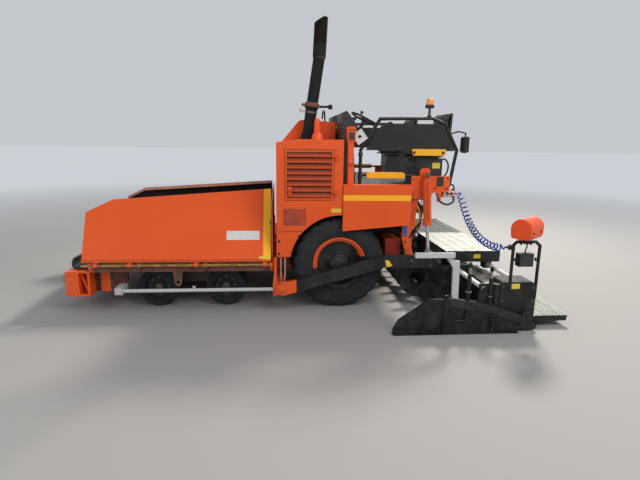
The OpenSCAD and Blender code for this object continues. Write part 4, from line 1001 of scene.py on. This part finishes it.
def pod_details(k, middle):
    """Light panel, gauges and switches on the slanting top of an instrument pod."""
    start, end = Vector((-0.505, 0, 2.346)), Vector((-0.635, 0, 2.178))
    out = Vector((end.z - start.z, 0, start.x - end.x)).normalized()
    down = (end - start).normalized()

    def place(along, across, lift):
        return start + down * along + Vector((0, middle + across, 0)) + out * lift

    corners = ((0.06, -0.2), (0.06, 0.2), (0.19, 0.2), (0.19, -0.2))
    with Piece("pod_panel_%d" % k, "chassis", "panel_grey", bevel=0.001) as panel:
        panel.skin([[place(along, across, lift) for along, across in corners] for lift in (-0.001, 0.004)])
    with Piece("pod_gauges_%d" % k, "chassis", "black_glass") as gauges:
        for across in (-0.15, -0.09, -0.03):
            gauges.turned(place(0.125, across, 0.004), out, [(0.024, 0), (0.024, 0.005), (0.02, 0.006)])
    with Piece("pod_switches_%d" % k, "chassis", "plastic") as keys:
        for i in range(4):
            for row in range(2):
                keys.turned(place(0.105 + 0.042 * row, 0.03 + 0.04 * i, 0.004), out,
                            [(0.009, 0), (0.009, 0.004), (0.0045, 0.005), (0.004, 0.018), (0.002, 0.02)], 12)


def lever_details():
    with Piece("lever_knobs", "chassis", "plastic") as knobs, Piece("levers", "chassis", "chrome") as levers:
        for k, y in enumerate((-0.1, 0.0, 0.1)):
            foot = Vector((-0.575, y, 2.115))
            tip = foot + Vector((-0.1 - 0.01 * k, 0.0, 0.16))
            levers.tube([foot, foot.lerp(tip, 0.5) + Vector((0.006, 0, 0.004)), tip], 0.006, 10)
            knobs.turned(tip - UP * 0.012, (-0.45, 0, 1),
                         [(0.006, 0), (0.016, 0.01), (0.021, 0.024), (0.019, 0.038), (0.01, 0.048),
                          (0.002, 0.05)], 20)


def steering_details():
    centre = Vector((-0.764, 0.5, 2.262))
    tilt = Matrix.Rotation(radians(-26), 3, "Y")
    with Piece("steering_cap", "chassis", "plastic") as cap:
        cap.turned(centre + tilt @ Vector((0, 0, 0.014)), tilt @ UP,
                   [(0.034, 0), (0.034, 0.012), (0.026, 0.022), (0.008, 0.026)], 28)
        cap.turned(centre + tilt @ Vector((0.09, 0.148, 0.012)), tilt @ UP,
                   [(0.009, 0), (0.009, 0.012), (0.02, 0.02), (0.022, 0.034), (0.014, 0.044),
                    (0.003, 0.046)], 20)


for side in SIDES:
    post_details(side)
    guard_details(side)
for k, middle in enumerate((-0.52, 0.52)):
    pod_details(k, middle)
lever_details()
steering_details()
turned_piece("beacon_base_", "chassis", "plastic", 1, (-1.44, 1.0, 2.38), UP,
             [(0.051, 0), (0.0525, 0.003), (0.0525, 0.034), (0.048, 0.0375)], 32)


# Exhaust
def exhaust_details():
    """Clamps, rusty collar with its knob and arm, and the breather's hose."""
    knee, foot = Vector((-0.178, 0.6, 3.03)), Vector((-0.03, 0.6, 2.005))
    along = (knee - foot).normalized()
    with Piece("exhaust_clamps", "chassis", "dark_steel") as clamp:
        for k in (0.3, 0.93):
            clamp.turned(foot.lerp(knee, k), along, [(0.0712, 0), (0.0745, 0.002), (0.0745, 0.026),
                                                     (0.0712, 0.028)], 36)
    at = foot.lerp(knee, 0.375)
    with Piece("exhaust_collar", "chassis", "rust_brown", bevel=0.002) as collar:
        collar.turned(at, along, [(0.0712, 0), (0.088, 0.004), (0.088, 0.05), (0.0712, 0.054)], 36)
        collar.box((at.x + 0.075, at.x + 0.125), (0.575, 0.625), (at.z - 0.01, at.z + 0.045), 0.006)
    turned_piece("exhaust_knob", "chassis", "white", 1, (at.x + 0.11, 0.64, at.z - 0.055), (0.3, 0.2, 1),
                 [(0.03, 0), (0.038, 0.01), (0.038, 0.045), (0.026, 0.062), (0.01, 0.066)])
    at = foot.lerp(knee, 0.38)
    with Piece("exhaust_arm", "chassis", "rust_brown") as arm:
        arm.box((at.x - 0.246, at.x - 0.07), (0.582, 0.6155), (at.z + 0.0105, at.z + 0.0165), 0.002)
        arm.bolt((at.x - 0.228, 0.6, at.z + 0.0255), UP, 0.01)
    with Piece("breather_hose", "chassis", "rubber") as breather:
        breather.tube(smooth([(-0.2, 0.78, 2.245), (-0.205, 0.775, 2.3), (-0.215, 0.74, 2.34),
                              (-0.232, 0.69, 2.335), (-0.24, 0.655, 2.3), (-0.245, 0.65, 2.22)], 6), 0.01, 10)


exhaust_details()


# Rear frame and hoses
REAR_HOSES = (
    ("hose_yellow_", "hose_yellow", 0.013, [
        (-1.23, 1.055, 1.33), (-1.3, 1.062, 1.29), (-1.365, 1.07, 1.18), (-1.378, 1.055, 1.08),
        (-1.33, 1.03, 0.99), (-1.262, 1.01, 0.925)]),
    ("hose_black_", "rubber", 0.014, [
        (-1.24, 1.02, 1.35), (-1.345, 1.03, 1.29), (-1.402, 1.04, 1.15), (-1.372, 1.03, 1.01),
        (-1.31, 0.995, 0.9), (-1.262, 0.96, 0.86)]),
    ("hose_red_", "hose_red", 0.01, [
        (-1.262, 0.93, 0.84), (-1.33, 0.96, 0.87), (-1.395, 0.99, 0.96), (-1.405, 1.0, 1.08),
        (-1.345, 0.99, 1.22), (-1.245, 0.985, 1.33)]),
    ("hose_upper_", "rubber", 0.009, [
        (-1.69, 1.075, 1.48), (-1.745, 1.078, 1.5), (-1.775, 1.072, 1.45), (-1.76, 1.04, 1.425)]),
    ("hose_loop_", "rubber", 0.011, [
        (-1.56, 1.09, 1.395), (-1.6, 1.105, 1.3), (-1.69, 1.11, 1.262), (-1.765, 1.1, 1.3),
        (-1.778, 1.06, 1.35)]),
    ("hose_seat_", "rubber", 0.01, [
        (-1.66, 0.925, 1.56), (-1.715, 0.935, 1.62), (-1.735, 0.925, 1.72), (-1.7, 0.9, 1.79),
        (-1.652, 0.87, 1.78)]),
)


def rear_details(side):
    plate_piece("leg_plate_", "chassis", "blue", side, rounded((-1.222, -1.172), (0.868, 1.008), 0.006, 3),
                (1.0862, 1.0885))
    with Piece("toolbox_front_", "chassis", "red", side, 0.001) as box:
        box.prism(rounded((-1.172, -0.993), (0.608, 0.804), 0.008, 3), (0.9795, 0.9835))
        box.box((-1.165, -1.15), (0.983, 0.99), (0.7, 0.755), 0.003)
    with Piece("frame_bolts_", "chassis", "dark_steel", side) as plug:
        plug.bolts(((-1.262, 1.372), (-1.262, 1.56), (-1.68, 1.45), (-1.68, 1.575), (-1.46, 1.42)),
                   1.105, 0.01)
        plug.bolts(((-1.205, 0.8), (-1.205, 0.7), (-1.275, 1.31)), 1.086, 0.011)
        plug.turned((-1.4, 1.2115, 1.62), OUT, [(0.03, 0), (0.03, 0.006), (0.02, 0.008)])
    with Piece("valve_block_", "chassis", "plastic", side, 0.0015) as block:
        block.box((-1.625, -1.545), (1.104, 1.1125), (1.48, 1.592), 0.006)
    with Piece("socket_plates_", "chassis", "white", side, 0.001) as socket:
        socket.box((-1.78, -1.655), (1.0595, 1.0635), (1.352, 1.424), 0.006)
    with Piece("socket_caps_", "chassis", "red", side) as caps:
        for x in (-1.75, -1.7):
            caps.turned((x, 1.063, 1.388), OUT, [(0.02, 0), (0.02, 0.01), (0.016, 0.018), (0.005, 0.02)], 20)
    for name, look, radius, route in REAR_HOSES:
        hose(name, "chassis", look, route, radius, side)


def barrel_details(side):
    """Pressure line clipped along the lift cylinder's barrel, and the rod's wiper."""
    top, foot = Vector((-1.4, 1.165, 1.62)), Vector((-1.468, 1.165, 0.69))
    down = (foot - top).normalized()
    start, end = top + down * 0.09 + OUT * 0.06, top + down * 0.52 + OUT * 0.06
    with Piece("lift_line_", "lift_barrel_", "orange_dirty", side) as line:
        line.tube([start, start + OUT * 0.006, end + OUT * 0.006, end], 0.008, 10)
        for k in (0.2, 0.8):
            line.turned(start.lerp(end, k) - down * 0.01, down, [(0.011, 0), (0.011, 0.02)], 10)
    turned_piece("rod_wiper_", "lift_barrel_", "rubber", side, top + down * 0.5955, down,
                 [(0.034, 0), (0.034, 0.006), (0.0235, 0.012)], 28)


def arm_details(side):
    plate_piece("arm_label_", "floating_screed", "sticker", side,
                [(-0.922, 0.624), (-0.964, 0.624), (-1.013, 0.556), (-0.94, 0.542)],
                (ARM_SIDE, ARM_SIDE + LABEL_T))
    with Piece("arm_bolts_", "floating_screed", "dark_steel", side) as bolts:
        bolts.bolts(((-1.465, 0.56), (-1.465, 0.64)), ARM_SIDE, 0.012)
        bolts.turned((-1.243, ARM_SIDE, 0.617), OUT, [(0.018, 0), (0.018, 0.003), (0.01, 0.004)], 20)
    with Piece("tow_pin_cap_", "chassis", "orange_dirty", side) as cap:
        cap.turned((0.29, 1.3015, 0.275), OUT, [(0.036, 0), (0.036, 0.006), (0.028, 0.01)])
        cap.bolt((0.29, 1.3105, 0.275), OUT, 0.012)


# Screed
def deck_details():
    """Toothed edges and rows of studs on the screed's deck."""
    front, back, foot = -1.7, -2.3595, 0.689
    low, high = 0.7005, 0.7125
    teeth, tooth_pitch = 26, 0.66 / 26
    plates, plate_pitch = 5, 0.1332
    rows, row_pitch = 47, 0.05
    outline = []
    for k in range(teeth):
        x = front - tooth_pitch * k
        outline += [(x, low), (x - 0.006, high), (x - 0.018, high), (x - 0.0245, low)]
    outline += [(back, foot), (front, foot)]
    with Piece("deck_teeth", "floating_screed", "plate") as edges:
        for side in SIDES:
            edges.prism(outline, (side * 1.1905, side * 1.1995))
    with Piece("deck_studs", "floating_screed", "plate") as studs:
        for i in range(plates):
            for j in range(rows):
                for dx in (0.033, 0.094):
                    studs.turned((-2.36 + i * plate_pitch + dx, -1.15 + row_pitch * j, 0.6995), UP,
                                 [(0.0085, 0), (0.0075, 0.0028), (0.003, 0.0035)], 8)
    for side in SIDES:
        sticker("deck_label_", "floating_screed", "sticker", (-2.115, -2.03), (0.618, 0.668), 1.2001, side)


def hatch_details():
    """Hatches with their handles on the screed's body, and a hose over each half."""
    with Piece("screed_hatches", "floating_screed", "bitumen", bevel=0.003) as hatches:
        for side in SIDES:
            for y in (0.19, 0.62):
                hatches.box((-1.968, -1.76), (side * y, side * (y + 0.2)), (0.3285, 0.342), 0.004)
    with Piece("hatch_handles", "floating_screed", "bare_steel") as handles:
        for side in SIDES:
            for y in (0.29, 0.72):
                bow = [(-1.83, side * (y + dy), z)
                       for dy, z in ((-0.05, 0.34), (-0.045, 0.362), (0.045, 0.362), (0.05, 0.34))]
                handles.tube(smooth(bow, 5), 0.005, 8)
    for side, word in SIDES.items():
        route = [(-1.69, side * 0.45, 0.392), (-1.735, side * 0.52, 0.47), (-1.735, side * 0.64, 0.48),
                 (-1.69, side * 0.7, 0.392)]
        hose("screed_hose_" + word, "floating_screed", "rubber", route, 0.012)


EXTENSION = "screed_extension_"
# Place, low and high end of the thread, and height of the collar
SPINDLES = ((-1.676, 0.645, 0.722, 0.44), (-1.915, 0.595, 0.672, 0.39))
SPINDLE_Y = 1.964
THREAD_PITCH = 0.006


def spindle_details(side):
    """Threads with their end nuts, and collars, on the two height spindles."""
    with Piece("spindle_threads_", EXTENSION, "bare_steel", side) as thread:
        for x, low, high, _ in SPINDLES:
            profile = []
            for k in range(int((high - low) / THREAD_PITCH)):
                profile += [(0.0142, k * THREAD_PITCH), (0.0168, (k + 0.5) * THREAD_PITCH)]
            thread.turned((x, SPINDLE_Y, low), UP, profile, 18)
            thread.turned((x, SPINDLE_Y, high + 0.047), UP, [(0.0135, 0), (0.0135, -0.004)], 6)
    with Piece("spindle_collars_", EXTENSION, "bare_steel", side) as collars:
        for x, _, _, z in SPINDLES:
            collars.turned((x, SPINDLE_Y, z), UP, [(0.023, 0), (0.03, 0.003), (0.03, 0.013), (0.023, 0.016)])


def extension_details(side):
    with Piece("extension_top_", EXTENSION, "worn_plate", side) as top:
        top.box((-2.395, -2.045), (0.745, 1.69), (0.3995, 0.4045), 0.002)
        for k in range(11):
            top.box((-2.385, -2.055), (0.77 + 0.085 * k, 0.776 + 0.085 * k), (0.404, 0.4075), 0.001)
    sticker("housing_label_", EXTENSION, "sticker", (-2.24, -2.15), (0.47, 0.528), 1.9552, side)
    with Piece("extension_bolts_", EXTENSION, "dark_steel", side) as bolts:
        bolts.bolts(((-1.475, 0.345), (-1.475, 0.29), (-2.06, 0.205), (-2.13, 0.18), (-1.56, 0.335),
                     (-1.78, 0.315), (-2.24, 0.15), (-2.3, 0.13)), 1.99, 0.011)
        bolts.bolts(((-2.06, 0.33), (-2.4, 0.33), (-2.06, 0.5), (-2.39, 0.48)), 1.955, 0.01)
    spindle_details(side)
    with Piece("knuckle_", EXTENSION, "black", side, 0.0015) as lug:
        lug.prism([(-2.275, 0.165), (-2.285, 0.222), (-2.315, 0.24), (-2.36, 0.222), (-2.382, 0.175),
                   (-2.392, 0.118)], (GATE_SIDE, 2.0))
        lug.bolt((-2.325, 2.0, 0.19), OUT, 0.013)
    x, z = GUIDE_TUBES[0]
    turned_piece("tube_flange_", "floating_screed", "bitumen", side, (x, 1.2445, z), OUT,
                 [(0.031, 0), (0.052, 0.002), (0.052, 0.014), (0.044, 0.02), (0.031, 0.022)], 28)


def loop_box_details(side):
    """Cover, lead and knob of the small box on the control post, and the socket of the curly lead."""
    with Piece("loop_box_cover_", EXTENSION, "plastic", side, 0.001) as box:
        box.prism(rounded((-2.362, -2.22), (0.722, 0.838), 0.01, 4), (1.9395, 1.945))
        box.bolts([(x, z) for z in (0.735, 0.826) for x in (-2.35, -2.232)], 1.945, 0.005)
    with Piece("loop_box_lead_", EXTENSION, "rubber", side) as lead:
        lead.tube(smooth([(-2.29, 1.9, 0.8495), (-2.292, 1.902, 0.885), (-2.3, 1.905, 0.915),
                          (-2.303, 1.903, 0.95)], 6), 0.007, 10)
    turned_piece("loop_knob_", EXTENSION, "plastic", side, (-2.4305, 1.9, 0.78), FORWARD,
                 [(0.012, 0), (0.021, 0.004), (0.021, 0.018), (0.014, 0.022)], 20)
    turned_piece("plug_socket_", EXTENSION, "plastic", side, (-2.112, 1.9, 0.915), FORWARD,
                 [(0.031, -0.004), (0.031, 0.002)], 28)


def gate_details(side):
    with Piece("gate_bolts_", EXTENSION, "black", side) as bolts:
        bolts.bolts(((-1.43, 0.4), (-1.41, 0.06), (-1.95, 0.22), (-1.93, 0.06)), 2.0455, 0.011)
        bolts.bolts(((-1.05, 0.09), (-1.72, 0.06), (-2.15, 0.06)), 2.01, 0.011)
    plate_piece("gate_beam_", EXTENSION, "black", side,
                [(-1.446, 0.392), (-1.52, 0.388), (-1.9, 0.318), (-2.29, 0.182), (-2.29, 0.09),
                 (-1.9, 0.222), (-1.52, 0.29), (-1.446, 0.292)], (GATE_SIDE, 2.023), 0.003)
    plate_piece("gate_rib_", EXTENSION, "bitumen", side,
                [(-0.915, 0.15), (-0.922, 0.166), (-1.25, 0.392), (-1.246, 0.376)], (GATE_SIDE, 2.012), 0.001)


DRUM_TURN = 130
DRUM_REACH = 0.1595


def control_details(side):
    """End plates, seams and clamp of the control box, which is a lying drum turned on its post."""
    centre = Vector((*POST, 1.1))
    turn = radians(DRUM_TURN)
    axis = Vector((sin(turn), -cos(turn), 0))
    flat = Vector((cos(turn), sin(turn), 0))
    with Piece("drum_bands_", EXTENSION, "orange_drum", side, 0.0015) as caps:
        for way in (-1, 1):
            at = centre + axis * DRUM_REACH * way + UP * 0.02
            ring = [at + flat * 0.098 * cos(a) + UP * 0.098 * sin(a) for a in turns(24)]
            caps.skin([ring, [p + axis * way * 0.004 for p in ring]])
    with Piece("drum_seam_", EXTENSION, "plastic", side) as seam:
        for way in (-1, 1):
            middle = centre + flat * way * 0.1065 + UP * 0.018
            seam.tube([middle + axis * 0.15, middle - axis * 0.15], 0.0035, 8)
        for k in (-0.1, 0.1):
            seam.turned(centre + axis * k + flat * 0.106 - UP * 0.015, flat,
                        [(0.012, 0), (0.012, 0.006), (0.008, 0.008)], 14)
    with Piece("drum_clamp_", EXTENSION, "black", side) as clamp:
        x, y = POST
        clamp.turned((x, y, 1.0), UP, [(0.0185, 0), (0.034, 0.004), (0.034, 0.014), (0.0185, 0.018)])
        for way in (-1, 1):
            clamp.turned((x + 0.055 * way, y, 0.9645), -UP, [(0.016, 0), (0.013, 0.02), (0.006, 0.026)], 16)


def walkway_details(side):
    with Piece("walkway_rim_", "folding_walkway_", "plate", side) as rim:
        for y in (0.7845, 1.8545):
            rim.box((-2.873, -2.5), (y, y + 0.006), (0.098, 0.1275), 0.002)
    with Piece("walkway_bracket_", "folding_walkway_", "black", side, 0.001) as foot:
        foot.prism([(-2.874, 0.099), (-2.874, 0.128), (-2.8, 0.128), (-2.79, 0.099)], (1.8605, 1.8665))
        foot.bolt((-2.835, 1.8665, 0.113), OUT, 0.008)


for side in SIDES:
    rear_details(side)
    barrel_details(side)
    arm_details(side)
    extension_details(side)
    loop_box_details(side)
    gate_details(side)
    control_details(side)
    walkway_details(side)
deck_details()
hatch_details()


# Padded seats
SEAT = [(-1.236, 1.822), (-1.222, 1.85), (-1.226, 1.895), (-1.25, 1.925), (-1.3, 1.938), (-1.56, 1.92),
        (-1.585, 1.9), (-1.578, 1.829), (-1.56, 1.822)]
BACK = [(-1.65, 1.875), (-1.606, 1.9), (-1.6, 1.96), (-1.636, 2.3), (-1.66, 2.35), (-1.7, 2.362),
        (-1.726, 2.34), (-1.7295, 2.326), (-1.6997, 1.99)]
PAD_SPAN = (0.536, 0.939)
PAD_STARTS_IN = 0.012
PAD_SHRINK = (0.955, 0.9)
VOXEL = 0.0105
BLOWN_AT_MOST = 0.012
CLOTH_FRAMES = 15


def modified(made):
    """The mesh as its modifiers leave it, which then takes their place."""
    mesh = bpy.data.meshes.new_from_object(made.evaluated_get(bpy.context.evaluated_depsgraph_get()))
    made.modifiers.clear()
    return mesh


def blow_up(made):
    """Pressure from inside, stopped where a vertex has moved far enough."""
    start = [v.co.copy() for v in made.data.vertices]
    cloth = made.modifiers.new("cloth", "CLOTH")
    cloth.settings.use_pressure = True
    cloth.settings.uniform_pressure_force = 4.0
    cloth.settings.effector_weights.gravity = 0.0
    cloth.settings.quality = 4
    for number in range(1, CLOTH_FRAMES):
        bpy.context.scene.frame_set(number)
    blown = modified(made)
    bpy.context.scene.frame_set(1)
    for vert, was in zip(blown.vertices, start):
        move = vert.co - was
        if move.length > BLOWN_AT_MOST:
            vert.co = was + move.normalized() * BLOWN_AT_MOST
    made.data = blown


def keep_within(vertices, low, high):
    """Each axis is squeezed evenly into the CAD outline's span, where it would stand out of it."""
    for i in range(3):
        least, most = min(v.co[i] for v in vertices), max(v.co[i] for v in vertices)
        start, end = max(least, low[i]), min(most, high[i])
        for vert in vertices:
            vert.co[i] = start + (vert.co[i] - least) / (most - least) * (end - start)


def cushion(name, outline, side):
    """Pad of a seat or of its back, blown up by the cloth simulation inside its CAD outline."""
    y = sorted(side * edge for edge in PAD_SPAN)
    xs, zs = zip(*outline)
    mid_x, mid_z = sum(xs) / len(outline), sum(zs) / len(outline)
    deep, high = PAD_SHRINK
    shrunk = [(mid_x + (px - mid_x) * deep, mid_z + (pz - mid_z) * high) for px, pz in outline]
    with Piece(sided(name, side), "chassis", "vinyl") as piece:
        piece.prism(shrunk, (y[0] + PAD_STARTS_IN, y[1] - PAD_STARTS_IN))
    made = piece.made
    bpy.context.view_layer.objects.active = made
    remesh = made.modifiers.new("remesh", "REMESH")
    remesh.mode = "VOXEL"
    remesh.voxel_size = VOXEL
    made.data = modified(made)
    blow_up(made)
    keep_within(made.data.vertices, (min(xs), y[0], min(zs)), (max(xs), y[1], max(zs)))
    made.data.materials.clear()
    made.data.materials.append(M["vinyl"])
    made.data.shade_smooth()
    return made


PADS = (("seat_pad_", SEAT), ("back_pad_", BACK))
pads = [cushion(name, outline, side) for side in SIDES for name, outline in PADS]
for pad in pads:
    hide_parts("seat_cushions")


# Floor and light
SKY = rgb(0.84, 0.88, 0.94)
SKY_POWER = 0.66
FLOOR_HALF = 120.0
FLOOR_Z = -0.001
HAZE_STARTS = 5.0
HAZE_FULL = 17.0
# Name, place, aim, watts, size and colour of each light
LIGHTS = (
    ("key", (-3.5, 5.5, 6.0), (0, 0, 0.9), 240.0, 4.0, (1.0, 0.97, 0.92)),
    ("fill", (5.0, 6.5, 3.5), (0.5, 0, 0.8), 120.0, 5.0, (0.92, 0.95, 1.0)),
    ("sun", (-5.0, -5.0, 8.5), (-0.6, 0.3, 0.6), 1500.0, 1.6, (1.0, 0.95, 0.86)),
)


def add_floor():
    """Grey floor that fades into the sky's colour far from the machine."""
    mesh = bpy.data.meshes.new("floor")
    corners = [(x * FLOOR_HALF, y * FLOOR_HALF, FLOOR_Z) for x, y in ((-1, -1), (1, -1), (1, 1), (-1, 1))]
    mesh.from_pydata(corners, [], [(0, 1, 2, 3)])
    floor = link("floor", mesh)
    g = Graph("floor_grey")
    haze = g.reach(g.axis(X), g.axis(Y)).ramp(HAZE_STARTS, HAZE_FULL)
    g.set("Emission Color", SKY)
    g.set("Emission Strength", haze * SKY_POWER)
    mesh.materials.append(g.finish(g.mix(haze, rgb(0.3, 0.29, 0.28), rgb(0, 0, 0)), 0.85))


def add_light():
    world = bpy.data.worlds.new("studio")
    bpy.context.scene.world = world
    world.use_nodes = True
    sky = world.node_tree.nodes["Background"]
    sky.inputs[0].default_value = SKY
    sky.inputs[1].default_value = SKY_POWER
    bpy.context.scene.view_settings.view_transform = "Standard"
    for name, at, aim, energy, size, colour in LIGHTS:
        data = bpy.data.lights.new(name, "AREA")
        data.energy = energy
        data.size = size
        data.color = colour
        light = link(name, data)
        light.location = at
        light.rotation_euler = (Vector(aim) - Vector(at)).to_track_quat("-Z", "Y").to_euler()


add_floor()
add_light()
